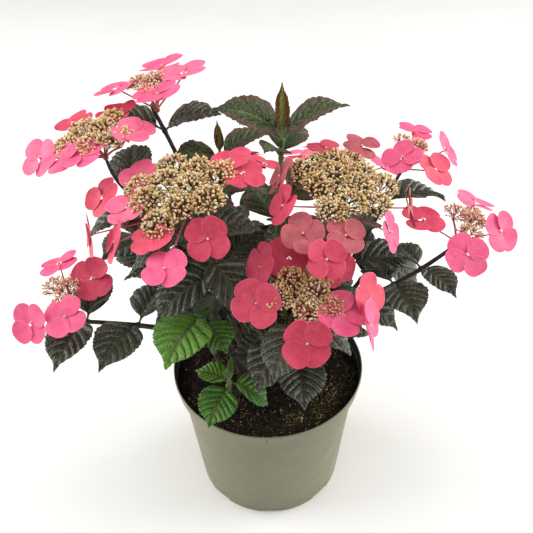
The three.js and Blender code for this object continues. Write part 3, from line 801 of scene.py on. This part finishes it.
def blade_rows():
    u = [((v + phase) / VEINS) ** VEIN_CROWDING for v in range(VEINS) for phase in PHASES]
    return (np.array(p)[:, None] for p in (u, PHASES * VEINS, TEETH * VEINS))


def leaf_grid(leaf, draw):
    """Rings round a leaf: its petiole, then rows that follow its side veins to the edge."""
    size = leaf["length"]
    u, phase, tooth = blade_rows()
    a = np.abs(WIDE)
    sweep = SWEEP * (1 - np.exp(-u / 0.1)) * (1 - u)
    ut = u + sweep * (1.25 * a - 0.25 * a * a)
    t = PETIOLE + (1 - PETIOLE) * ut
    edge = 1 + (tooth - 1) * smooth_step(0.8, 1, a) * smooth_step(0, 0.1, u)
    wide = half_width(leaf, t) * (1 - DRIP * smooth_step(0.68, 0.9, ut))
    arch = 1.2 * a - 0.32 * a * a
    wave = draw.uniform(0, 2 * math.pi, 3)
    turns, half = 2 * math.pi, np.sign(WIDE)
    ruffle = size * RUFFLE * np.sin(turns * RUFFLE_WAVES * t + wave[0] + half) * a**2
    ruffle += size * FRILL * np.sin(turns * FRILL_WAVES * t + wave[1] * half) * a**3
    quilt = size * QUILT * np.sin(math.pi * phase) ** 0.6 * smooth_step(0, 0.2, a)
    quilt = quilt * (1 - 0.55 * a**4) * (1 - 0.6 * ut**3)
    high = wide * math.tan(FOLD) * arch + ruffle * (1 - 0.3 * ut) + quilt
    thick = LEAF_THICK * (1 - 0.5 * a**6)
    thick = thick + ROOT_THICK * (1 - smooth_step(0, 0.08, u)) * (a < 0.9)
    keel = size * KEEL * (1 - ut) * (1 - smooth_step(0, 0.12, a))
    side = wide * WIDE * edge
    top = leaf_place(leaf, t, side, high + thick / 2)
    under = leaf_place(leaf, t, side, high - thick / 2 - keel)
    blade = np.concatenate((top, under[:, ::-1]), 1)

    turn = np.concatenate((WIDE, WIDE[::-1])) * math.pi / 2
    over = np.concatenate((np.ones(len(WIDE)), -np.ones(len(WIDE))))
    root = np.array(STALK_ROWS)[:, None] * PETIOLE
    girth = 1.35 - 0.25 * np.array(STALK_ROWS)[:, None]
    stalk_wide = girth * np.sin(turn)
    stalk_high = girth * np.cos(turn) * np.where(over > 0, 0.8, -1)
    stalk = leaf_place(leaf, root * np.ones(len(turn)), stalk_wide, stalk_high)
    tip = leaf_place(leaf, np.array([1.0]), np.zeros(1), np.zeros(1))
    return np.concatenate((stalk, blade)), tip


def leaf_zones(finishes):
    """Each quad's material: rib, side veins, blade, strips of painted highlight, rim,
    underside.
    """
    rib, vein, blade, highlight_strip, rim, under, rim_from = finishes
    middle = np.abs(WIDE[1:] + WIDE[:-1]) / 2
    top = np.where(middle < RIB_TO, rib, np.where(middle > rim_from, rim, blade))
    below = np.where(middle > rim_from, rim, under)
    ring = np.concatenate((top, [rim], below, [rim]))
    zones = np.tile(ring, (len(STALK_ROWS) + VEINS * len(PHASES) - 1, 1))
    inner = np.flatnonzero((middle > RIB_TO) & (middle < rim_from))
    # on dark leaves the side-vein strip is pale: the vein with a painted highlight along it
    for phase, finish in ((0, vein), (PAINTED_HIGHLIGHT_PHASE, highlight_strip)):
        rows = len(STALK_ROWS) + phase + len(PHASES) * np.arange(int(phase == 0), VEINS)
        zones[rows[:, None], inner] = finish
    zones[: len(STALK_ROWS)] = rib
    return zones


# ---- Stems ----

def limb_rings(name, sides, step, nodes=(), ridges=0.05, swell=0.35, seed=0):
    """Rings round a limb: ridged along it, and swollen at its nodes."""
    curve, radii, flare = LIMBS[name]
    long = length(curve)
    rows = max(6, round(long / step))
    t = np.linspace(0, 1, rows)
    centres = point(curve, t)
    radius = limb_radius(radii, flare, t)
    for at in nodes:
        radius = radius * (1 + swell * np.exp(-(((t - at) * long / 2.4) ** 2)))
    turn = around(sides)
    grain = np.array([
        [
            noise.noise((3 * math.cos(b) + seed, 3 * math.sin(b), where * long / 14))
            + 0.6 * noise.noise((6 * math.cos(b), 6 * math.sin(b) + seed, where * long / 5))
            for b in turn
        ]
        for where in t
    ])
    return tubes([centres], (radius[:, None] * (1 + ridges * grain))[None], sides)


# ---- Flower heads ----

SEPAL_RINGS = (0.2, 0.42, 0.64, 0.82, 0.94, 1)
SEPAL_SIDES = 24
SEPAL_THICK = 0.3
SEPAL_MIDDLE = 0.525  # of the floret's radius


def sepal_grid(size, place, lift, draw):
    """Rings over and under one sepal, which lies along X from the floret's middle."""
    radius = size / 2
    rho = np.array(SEPAL_RINGS)[:, None]
    turn = around(SEPAL_SIDES)
    dent = draw.uniform(0, 0.06)
    long = draw.uniform(0.455, 0.475)
    broad = draw.uniform(0.55, 0.64)
    off = (turn + math.pi) % (2 * math.pi) - math.pi
    reach = rho * (1 - dent * np.exp(-((off / 0.3) ** 2)))
    reach = reach * (1 + 0.012 * np.sin(5 * turn + draw.uniform(0, 6)) * rho**4)
    x = radius * (SEPAL_MIDDLE + long * reach * np.cos(turn))
    y = radius * broad * reach * np.sin(turn) * (0.9 + 0.1 * np.cos(turn))
    cup = draw.uniform(-0.02, 0.1)
    dish = draw.uniform(-1.6, 1.8)
    twist = draw.uniform(-0.15, 0.15)
    wave = draw.uniform(0, 6)
    z = size * cup * (np.hypot(x, y) / radius) ** 2 + lift + dish * (rho**2 - 0.4)
    z = z + twist * y + 0.6 * np.sin(2 * turn + wave) * rho**3
    z = z + 0.12 * np.sin(11 * turn) * np.sin(math.pi * rho)
    half = SEPAL_THICK / 2 * (1.15 - rho)
    over, under = (np.stack((x, y, z + s * half), -1) for s in (1, -1))
    grid = np.concatenate((over, under[::-1]))
    middle = size * cup * 0.28 + lift - 0.4 * dish
    hearts = [(radius * SEPAL_MIDDLE, 0, middle + s * SEPAL_THICK * 0.6) for s in (1, -1)]
    return apply(place, grid), [apply(place, p) for p in hearts]


def sepal_zones(pink, rim, back):
    zones = np.full((2 * len(SEPAL_RINGS) - 1, SEPAL_SIDES), back)
    zones[: len(SEPAL_RINGS)] = pink
    zones[len(SEPAL_RINGS) - 2 : len(SEPAL_RINGS) + 1] = rim
    return zones


def bead_grid(radius, height, rings=4, sides=8):
    """An egg round the origin, upright, its rings from foot to tip."""
    angle = (np.arange(rings) + 0.7) / (rings + 0.4) * math.pi
    angle = angle[:, None]
    return polar(radius * np.sin(angle), around(sides), -height * np.cos(angle))


def aimed(directions):
    """A frame for each direction, its z along it."""
    z = unit(directions)
    helper = np.where(np.abs(z[:, :1]) < 0.9, vec(1, 0, 0), vec(0, 1, 0))
    x = unit(np.cross(helper, z))
    return np.stack((x, np.cross(z, x), z), -1)


def scatter(count, draw):
    """Points on the unit half sphere, evenly strewn, reaching a little under its rim."""
    i = np.arange(count)
    z = 1 - (i + 0.5) / count * 1.15
    turn = i * GOLDEN_TURN + draw.uniform(0, 6)
    return polar(np.sqrt(1 - z * z), turn, z)


# ---- Foliage ----

LEAF_FINISHES = (  # name, dark and light colour, roughness, specular
    ("dark_leaf", "1a2014", "424b34", 0.34), ("brown_leaf", "1d1814", "423a30", 0.34),
    ("grey_leaf", "2a2f22", "5c624f", 0.36), ("dark_rib", "45452f", "66654a", 0.42),
    # first on the next line: the side-vein strip of dark leaves, vein colour with a painted
    # highlight
    ("dark_vein_and_highlight", "42473a", "6a6f5c", 0.34), ("dark_under", "474c3b", "636853", 0.6, 0.3),
    ("green_leaf", "253013", "445024", 0.38), ("fresh_leaf", "3a6622", "528530", 0.42),
    ("bright_leaf", "558626", "74a53c", 0.42), ("green_rim", "40321f", "6a4c38", 0.4),
    ("green_rib", "4d5a2c", "727c48", 0.45), ("green_vein", "2c4a1a", "4a6a2c", 0.4),
    ("green_under", "5b7a45", "7a9860", 0.6, 0.3), ("bronze_leaf", "7d5c34", "a86a50", 0.42),
    # the last two finishes of this table are pale strips of painted highlight on the blade
    ("bud_leaf", "747a34", "a4a654", 0.42), ("dark_painted_highlight", "4e5342", "868b76", 0.32),
    ("green_painted_highlight", "3c4622", "666f40", 0.36),
)
DARK, BROWN, GREY, DARK_RIB, DARK_VEIN_AND_HIGHLIGHT, DARK_UNDER = range(6)
GREEN, FRESH, BRIGHT, GREEN_RIM, GREEN_RIB, GREEN_VEIN, GREEN_UNDER = range(6, 13)
BRONZE, BUD_LEAF, DARK_PAINTED_HIGHLIGHT, GREEN_PAINTED_HIGHLIGHT = range(13, 17)

NARROW_FROM, WIDE_RIM_FROM, RIM_FROM = 0.5, 0.7, 0.93  # of the half width: where a rim starts


def shoots(names):
    return ["leaves_" + name for name in names.split()]


LEAF_PIECES = {
    "leaves_dark_left": shoots("top_left left centre_left low_left side_left low_front"),
    "leaves_dark_right": shoots(
        "centre_right upper_right far_right front low_right side_right"
    ),
    "leaves_dark_back": shoots("back_left back_right low_back low_back_left"),
    "leaves_fresh": shoots("green_back top green_left sucker"),
}
BROWN_SHOOTS = shoots("front low_front low_right low_back low_back_left")


def finishes_of(name, leaf, draw):
    """The materials of a leaf's rib, veins, blade, strips of painted highlight, rim and
    underside, dealt out by shoot, and how far out the rim starts."""
    if name in ("leaves_green_left", "leaves_sucker"):
        blade = BRIGHT if draw.random() < 0.4 else FRESH
        return GREEN_RIB, GREEN_VEIN, blade, BRIGHT, blade, GREEN_UNDER, RIM_FROM
    if name in ("leaves_top", "leaves_green_back"):
        if leaf["young"]:
            return BUD_LEAF, BRONZE, BUD_LEAF, BRONZE, BRONZE, BUD_LEAF, NARROW_FROM
        return GREEN_RIB, GREEN_VEIN, GREEN, GREEN_PAINTED_HIGHLIGHT, GREEN_RIM, GREEN_UNDER, WIDE_RIM_FROM
    shares = (0.4, 0.45, 0.15) if name in BROWN_SHOOTS else (0.6, 0, 0.4)
    blade = draw.choice((DARK, BROWN, GREY), p=shares)
    return DARK_RIB, DARK_VEIN_AND_HIGHLIGHT, blade, DARK_PAINTED_HIGHLIGHT, blade, DARK_UNDER, RIM_FROM


def make_foliage():
    materials = [leaf_finish(*row) for row in LEAF_FINISHES]
    for number, (piece, shoots) in enumerate(LEAF_PIECES.items()):
        draw = np.random.default_rng(LEAF_SEED + number)
        pile = Pile()
        for name in shoots:
            for leaf in LEAVES[name]:
                rings, tip = leaf_grid(leaf, draw)
                zones = leaf_zones(finishes_of(name, leaf, draw))
                pile.add(rings, zones, (None, tip))
        slot = "young_leaves" if piece == "leaves_fresh" else "dark_leaves"
        pile.build(piece, materials, slot, shoots)


def make_stems():
    bark = plain_finish("old_bark", "2e2620", "5a4a3c", 0.75, 90, 0.0006)
    dark = plain_finish("dark_stem", "1d1a1a", "3c3330", 0.5, 70, 0.0003)
    fresh = plain_finish("green_stem", "3d5a26", "6f8a45", 0.5, 70, 0.0003)
    canes, stems = Pile(), Pile()
    for number, name in enumerate((*CANES, *BOUGHS)):
        canes.add(limb_rings(name, 14, 2.2, np.linspace(0.2, 0.9, 4), 0.13, 0.22, 7 * number))
    for number, (name, shoot) in enumerate(SHOOTS.items()):
        nodes = [pair[0] for pair in shoot["pairs"]]
        green = int(name in LEAF_PIECES["leaves_fresh"])
        stems.add(limb_rings(name, 12, 2.2, nodes, 0.05, 0.4, number), green)
    for name in HEADS:
        stems.add(limb_rings(name, 10, 2.5, (), 0.06))
    canes.build("cane_bark", [bark], "bark", (*CANES, *BOUGHS))
    stems.build("shoot_stems", [dark, fresh], "bark", ())


# ---- Flowers ----

CLUSTER_SPREAD = 1.32  # the buds' reach beyond the solid's lump
BUD_AREA = 5.2  # of a cluster's top for each bud
BUD_SIZE = (1.2, 1.8)  # radius and half its length
SMALL_DISC = 30  # a head under this radius has fewer and smaller buds
FORKS = 6  # on each ray
BRIGHT_PINK, PALE_PINK, CORAL, DEEP, DUSKY, BLUSH, BACK_PINK, BACK_DUSKY, BEAD = range(9)
TINTS = {letter: number for number, letter in enumerate("bpcdu")}
RIMS = {
    BRIGHT_PINK: PALE_PINK, PALE_PINK: BLUSH, CORAL: BRIGHT_PINK, DEEP: CORAL, DUSKY: CORAL,
}  # each pink's rim
SEPAL_FINISHES = (  # name, deep and pale colour, roughness
    ("sepal_bright", "e74c7c", "f26f94"), ("sepal_pale", "ee5e86", "f67c9c"),
    ("sepal_coral", "d4435e", "ea5c72"), ("sepal_deep", "c63957", "de506a"),
    ("sepal_dusky", "9e4851", "c4666d"), ("sepal_blush", "f47698", "fa94ac"),
    ("sepal_back_pink", "dc5f82", "ee86a2", 0.65),
    ("sepal_back_dusky", "a4505a", "c2747c", 0.65), ("floret_bead", "e8a08a", "f4dcb0", 0.5),
)
BUD_FINISHES = (  # name, dark and light colour, roughness
    ("bud_cream", "e4cd98", "f8e8c0", 0.5), ("bud_gold", "bc9450", "dfbc7a", 0.5),
    # second on the next line: brown painted shade at each bud's foot, where the buds crowd
    ("bud_pink", "dc9388", "f0bca8", 0.5), ("bud_foot_painted_shade", "8a6434", "b08444", 0.6),
)
STALK_FINISHES = (
    ("ray_dark", "54402c", "7a5e3e", 0.6), ("ray_red", "8c3f44", "b4605c", 0.6),
    ("pedicel_pink", "b34a5c", "d06f7a", 0.55),
)
RAY, FORK, BUD_STALK = 1.15, 0.6, 0.3  # radii
FLORET_STALK = (0.95, 0.7)  # its radius at the hub and at the floret


def on_left(head):
    return head["at"][0] < 0


def make_florets():
    materials = [sepal_finish(*row) for row in SEPAL_FINISHES]
    halves = {"sepals_left": Pile(), "sepals_right": Pile()}
    beads = Pile()
    draw = np.random.default_rng(FLORET_SEED)
    for name, head in HEADS.items():
        pile = halves["sepals_left" if on_left(head) else "sepals_right"]
        for floret, tint in zip(head["florets"], head["tints"]):
            place = floret_frame(head, *floret)
            front = TINTS[tint]
            back = BACK_DUSKY if front in (DUSKY, CORAL) else BACK_PINK
            for k in range(4):
                turn = (45 + 90 * k + draw.uniform(-4, 4)) * DEGREE
                lift = 0.9 * (k % 2) + 0.2
                sepal = place @ turned("Z", turn)
                grid, hearts = sepal_grid(head["floret"], sepal, lift, draw)
                pile.add(grid, sepal_zones(front, RIMS[front], back), hearts)
            beads.add(apply(place @ shift(0, 0, 1.6), bead_grid(1.25, 1.2, 5, 9)), BEAD)
            beads.add(apply(place @ shift(0, 0, -0.7), bead_grid(1.7, 1.6, 4, 8)), back)
    for piece, pile in halves.items():
        pile.build(piece, materials, "flowers", ())
    beads.build("floret_beads", materials, "flowers", ())


def make_heads():
    buds = {"buds_left": Pile(), "buds_right": Pile()}
    twigs = Pile()
    draw = np.random.default_rng(HEAD_SEED)
    shape = bead_grid(*BUD_SIZE, 4, 6)
    for name, head in HEADS.items():
        place = head_frame(head)
        small = head["disc"] < SMALL_DISC
        pile = buds["buds_left" if on_left(head) else "buds_right"]
        radius = CLUSTER_SPREAD * lump_radius(head)
        hub = vec(0, 0, -HUB_DEPTH)
        middles = lump_places(head, head["lumps"])
        count = round(2.4 * math.pi * radius**2 / BUD_AREA / 2 * (0.75 if small else 1))
        stalk_tint = 1 if small or name in ("head_left", "head_front") else 0
        for middle in middles:
            foot = middle - vec(0, 0, 0.62 * radius)
            bend = hub + (foot - hub) * vec(0.35, 0.35, 0.6)
            twigs.add(apply(place, tubes(bends(hub, bend, foot, 6), RAY, 6)), stalk_tint)
            ways = scatter(count, draw)
            ways += draw.normal(0, 0.09, ways.shape)
            spots = middle + radius * ways * vec(1, 1, 0.66)
            forks = middle + radius * scatter(FORKS, draw) * vec(0.5, 0.5, 0.3)
            forks = forks - vec(0, 0, 0.25 * radius)
            line = bends(foot, (foot + forks) / 2 - vec(0, 0, 1), forks, 4)
            twigs.add(apply(place, tubes(line, FORK, 5)), stalk_tint)
            starts = forks[np.linalg.norm(spots[:, None] - forks, axis=2).argmin(1)]
            aims = unit(0.55 * unit(spots - starts) + 0.45 * unit(ways + vec(0, 0, 0.5)))
            scale = draw.uniform(0.78, 1.12, count) * (0.85 if small else 1)
            feet = spots - aims * (BUD_SIZE[1] * scale)[:, None]
            stalks = tubes(bends(starts, (starts + feet) / 2 - aims, feet, 3), BUD_STALK, 3)
            twigs.add(apply(place, stalks), stalk_tint)
            grids = np.einsum("nij,rsj->nrsi", aimed(aims), shape) * scale[:, None, None, None]
            grids += spots[:, None, None]
            kinds = draw.choice(3, count, p=(0.35, 0.1, 0.55) if small else (0.5, 0.42, 0.08))
            zones = np.repeat(kinds[:, None, None], 3, 1)
            # each bud's lowest ring: pink on small heads, elsewhere brown painted shade between
            # the buds
            zones[:, 0] = 2 if small else 3
            pile.add(apply(place, grids), zones)
        for floret in head["florets"]:
            seat = apply(floret_frame(head, *floret), (0, 0, -1.4))
            start = apply(place, hub)
            middle = start * 0.5 + seat * 0.5 + place[:3, 2] * 2 - vec(0, 0, 2)
            line = bends(start, middle, seat, 9)
            twigs.add(tubes(line, np.linspace(*FLORET_STALK, 9)[None], 6), 2)
        knot = apply(place @ shift(0, 0, -HUB_DEPTH), bead_grid(3.2, 3.6, 5, 10))
        twigs.add(knot, stalk_tint)
    kinds = [plain_finish(*row, 400, 0.0002) for row in BUD_FINISHES]
    stalks = [plain_finish(*row, 120, 0.0002) for row in STALK_FINISHES]
    for piece, pile in buds.items():
        side = [n for n, h in HEADS.items() if on_left(h) == (piece == "buds_left")]
        pile.build(piece, kinds, "flowers", side)
    twigs.build("flower_twigs", stalks, "flowers", ())


# ---- Pot and soil ----

BAND_FOOT = POT_HEIGHT - POT_BAND
BAND_RADIUS = POT_RIM_RADIUS - POT_DRAW
WALL_TOP_RADIUS = BAND_RADIUS - POT_STEP
LEDGE = BAND_FOOT + POT_WALL  # inside, where the wall widens to the band
SOIL_REACH = BAND_RADIUS - POT_WALL - 0.3
POT_COLUMNS = 176
NOTCH_SIDE, NOTCH_ROOM = 0.002, 0.008  # radians round a notch's edge
NICK = ((-0.018, 179.6), (-0.03, 179.2), (-0.032, 177), (-0.03, 174.2))
NICK_SIZE = 0.28
MOSS_PATCHES = 70
MOSS_TUFTS = 44  # in each patch
SOIL_COLUMNS, SOIL_ROWS = 120, 46
CRUMBS, STRAWS = 2300, 200
SOIL_FINISHES = (  # name, dark and light colour, roughness
    ("crumb_black", "0f0c0a", "241c16", 0.9), ("crumb_brown", "33271c", "57442f", 0.9),
    ("crumb_pale", "8f7d5c", "c2b08a", 0.85),
)
MOSS_FINISHES = (
    ("moss_olive", "3a3d18", "61602a", 0.9), ("moss_straw", "7a7040", "a8985c", 0.9),
)


def wall_radius(z):
    share = (z - POT_CHAMFER) / (BAND_FOOT - POT_CHAMFER)
    return POT_BASE_RADIUS + (WALL_TOP_RADIUS - POT_BASE_RADIUS) * share


def pot_profile(in_notch):
    """Radius and height of the pot's rows, from the middle of its foot up and in again."""
    inner = POT_BASE_RADIUS + 0.2 - NOTCH_SIZE["depth"]
    high = NOTCH_SIZE["height"] - 0.4
    if in_notch:
        foot = [(inner, 0), (inner, high / 2), (inner, high), (88, high), (90.2, high + 0.4)]
    else:
        foot = [(inner, 0), (88, 0), (89.4, 0.6), (90, 2), (90.2, 4)]
    wall = [(wall_radius(z), z) for z in np.linspace(12, BAND_FOOT - 3, 16)]
    rim, top = POT_RIM_RADIUS, POT_HEIGHT
    band = [
        (WALL_TOP_RADIUS, BAND_FOOT - 0.6), (WALL_TOP_RADIUS + 0.5, BAND_FOOT + 0.1),
        (BAND_RADIUS - 1, BAND_FOOT + 1), (BAND_RADIUS - 0.2, BAND_FOOT + 1.6),
        (BAND_RADIUS, BAND_FOOT + 2.8), (rim - 1.1, top - 5.4), (rim - 0.95, top - 4.4),
        (rim, top - 3.6), (rim, top - 0.8), (rim - 0.25, top - 0.2), (rim - 0.8, top),
        (rim - 1.4, top - 0.1),
    ]
    inside = [
        (rim - POT_WALL - 0.05, top - 0.6), (rim - POT_WALL - 0.3, top - 6),
        (BAND_RADIUS - POT_WALL, LEDGE + 1.5), (WALL_TOP_RADIUS - POT_WALL, LEDGE),
        (wall_radius(80) - POT_WALL, 80), (88, 7), (86, 6), (40, 6),
    ]
    return [(40, 0), (84, 0), *foot, *wall, *band, *inside], len(inside)


def apart(angles, others):
    """How far each angle is from the nearest of the others."""
    turn = 2 * math.pi
    return np.abs((angles[:, None] - others + math.pi) % turn - math.pi).min(1)


def make_pot():
    half = NOTCH_SIZE["width"] / 2 / POT_BASE_RADIUS
    middles = -math.pi / 2 + around(DRAIN_NOTCHES)
    edges = [middles + s * (half + e) for s in (-1, 1) for e in (-NOTCH_SIDE, NOTCH_SIDE)]
    edges = np.concatenate(edges)
    even = around(POT_COLUMNS)
    even = even[apart(even, edges) > NOTCH_ROOM]
    angles = np.sort(np.concatenate((even, edges % (2 * math.pi))))
    columns = []
    for angle, gap in zip(angles, apart(angles, middles)):
        profile, inside = pot_profile(gap < half)
        columns.append([(r * math.cos(angle), r * math.sin(angle), z) for r, z in profile])
    rings = np.array(columns).transpose(1, 0, 2)
    zones = np.zeros((len(rings) - 1, 1), int)
    zones[-inside:] = 1
    shell = Finish("pot_shell", 0.5, 0.4)
    tone = shell.mixed(shell.noise(9, 3), shell.noise(260, 4), 0.35)
    shell.colour(tone, ((0.3, "79775f"), (0.7, "8c8971")))
    shell.gloss(shell.noise(40, 5), 0.44, 0.6)
    shell.relief(shell.noise(1400, 3), 0.0001, 0.5)
    shell.relief(shell.noise(22, 3, (1, 1, 9)), 0.0003, 0.25)
    lining = plain_finish("pot_lining", "0c0c0c", "191816", 0.55, 60, 0.0002)
    pile = Pile()
    pile.add(rings, zones)
    scratch = []
    for off, z in NICK:
        radius = BAND_RADIUS + POT_DRAW * (z - BAND_FOOT) / POT_BAND - 0.15
        scratch.append((radius * math.sin(off), -radius * math.cos(off), z))
    pile.add(tubes(np.array([scratch]), NICK_SIZE, 5), 1)
    pile.build("pot_body", [shell.material, lining], "pot_plastic", ["pot"])


def soil_height(x, y):
    out = math.hypot(x, y)
    fall = SOIL_SHOULDER * smooth_step(0.8 * POT_RIM_RADIUS, SOIL_REACH, out)
    rough = 2.2 * noise.noise((x / 15, y / 15, 3)) + 1.3 * noise.noise((x / 5, y / 5, 8))
    return SOIL_TOP - 0.4 - fall + rough * (1 - 0.8 * smooth_step(98, SOIL_REACH, out))


def soil_spots(count, draw, reach=109):
    out = reach * np.sqrt(draw.random(count))
    turn = draw.uniform(0, 2 * math.pi, count)
    x, y = out * np.cos(turn), out * np.sin(turn)
    return np.array([(a, b, soil_height(a, b)) for a, b in zip(x, y)])


def strewn(spots, sizes, shape, draw):
    """Copies of a grid at the spots, each stretched and turned its own way."""
    count = len(spots)
    stretch = sizes[:, None] * draw.uniform(0.6, 1.4, (count, 3))
    grids = shape[None] * stretch[:, None, None]
    grids = grids * (1 + draw.normal(0, 0.12, (count, *shape.shape[:2], 1)))
    frames = aimed(draw.normal(size=(count, 3)))
    return np.einsum("nij,nrsj->nrsi", frames, grids) + spots[:, None, None]


def make_soil():
    draw = np.random.default_rng(SOIL_SEED)
    ways = [(math.cos(turn), math.sin(turn)) for turn in around(SOIL_COLUMNS)]
    ground = np.array([
        [(r * c, r * s, soil_height(r * c, r * s)) for c, s in ways]
        for r in np.linspace(2.5, SOIL_REACH, SOIL_ROWS)
    ])
    sides = np.array([
        [(r * c, r * s, z) for c, s in ways]
        for r, z in ((104.4, LEDGE - 1), (95.4, 80), (86.5, 8), (30, 8))
    ])
    earth = Finish("earth", 0.95, 0.2)
    earth.colour(earth.noise(160, 8), ((0.35, "0d0a08"), (0.6, "2a2019"), (0.75, "4a3a2b")))
    earth.relief(earth.noise(380, 6), 0.0012, 0.9)
    bed = Pile()
    bed.add(np.concatenate((ground, sides)), 0, (vec(0, 0, soil_height(0, 0)), None))
    bed.build("soil_bed", [earth.material], "soil", ["soil"])

    crumb = bead_grid(1, 0.8, 3, 5)
    crumbs = Pile()
    spots = soil_spots(CRUMBS, draw)
    sizes = 0.45 + 1.5 * draw.random(len(spots)) ** 3
    kinds = draw.choice(3, len(spots), p=(0.62, 0.3, 0.08))
    crumbs.add(strewn(spots, sizes, crumb, draw), kinds[:, None, None])
    spots = soil_spots(STRAWS, draw, 106) + vec(0, 0, 0.5)
    lean = unit(draw.normal(size=(len(spots), 3)) * vec(1, 1, 0.18))
    half = lean * draw.uniform(1, 4.5, (len(spots), 1))
    bow = draw.normal(0, 0.8, half.shape) * vec(1, 1, 0.4)
    straws = tubes(bends(spots - half, spots + bow, spots + half, 4), 0.28, 4)
    kinds = draw.choice((1, 2), len(spots))
    crumbs.add(straws, kinds[:, None, None])
    finishes = [plain_finish(*row, 300, 0.0004, 0.2) for row in SOIL_FINISHES]
    crumbs.build("soil_crumbs", finishes, "soil", ())

    moss = Pile()
    patches = soil_spots(MOSS_PATCHES, draw, 104)
    bound = -20 - 1.2 * np.abs(patches[:, 1] + 20) + draw.normal(0, 30, len(patches))
    patches = patches[patches[:, 0] > bound]
    spots = np.repeat(patches, MOSS_TUFTS, 0)
    spots = spots + draw.normal(0, 6.5, spots.shape)
    spots = spots[np.hypot(spots[:, 0], spots[:, 1]) < SOIL_REACH - 1]
    spots[:, 2] = [soil_height(x, y) + 0.3 for x, y, _ in spots]
    sizes = draw.uniform(0.3, 0.8, len(spots))
    kinds = draw.integers(0, 2, len(spots))
    moss.add(strewn(spots, sizes, crumb, draw), kinds[:, None, None])
    greens = [plain_finish(*row, 300, 0.0004, 0.2) for row in MOSS_FINISHES]
    moss.build("soil_moss", greens, "soil", ())


# ---- Stage ----

CAMERA = vec(0.0013, -0.68334, 0.92440)
TARGET = vec(0.0013, 0, 0.3387)
LENS = 55.25
ROLL = -1.41 * DEGREE


def make_stage():
    bpy.ops.mesh.primitive_circle_add(vertices=96, radius=9, fill_type="NGON")
    floor = bpy.context.object
    floor.name = "floor"
    pale = Finish("floor_pale", 0.8, 0.2)
    pale.colour(pale.noise(3), ((0.3, "f6f5f1"), (0.7, "fbfaf7")))
    floor.data.materials.append(pale.material)

    world = bpy.data.worlds.new("studio")
    bpy.context.scene.world = world
    world.use_nodes = True
    back = world.node_tree.nodes["Background"]
    back.inputs["Color"].default_value = (1, 1, 0.995, 1)
    back.inputs["Strength"].default_value = 0.38

    for name, place, size, power in (
        ("left", (-1.7, 0.25, 0.9), 1.6, 30),
        ("right", (1.7, 0.3, 0.85), 1.6, 34),
        ("top", (-0.1, 0.0, 2.2), 2.6, 29),
    ):
        light = bpy.data.objects.new(name, bpy.data.lights.new(name, "AREA"))
        light.data.size = size
        light.data.energy = power
        light.location = place
        aim = Vector((0, 0, 0.3)) - Vector(place)
        light.rotation_euler = aim.to_track_quat("-Z", "Y").to_euler()
        bpy.context.scene.collection.objects.link(light)

    camera = bpy.data.objects.new("camera", bpy.data.cameras.new("camera"))
    camera.data.lens = LENS
    camera.data.sensor_width = 36
    aim = Vector(TARGET - CAMERA).to_track_quat("-Z", "Y").to_matrix().to_4x4()
    camera.matrix_world = (
        Matrix.Translation(Vector(CAMERA)) @ aim @ Matrix.Rotation(ROLL, 4, "Z")
    )
    bpy.context.scene.collection.objects.link(camera)
    bpy.context.scene.camera = camera
    bpy.context.scene.view_settings.view_transform = "Standard"


make_stage()
make_pot()
make_soil()
make_stems()
make_foliage()
make_florets()
make_heads()
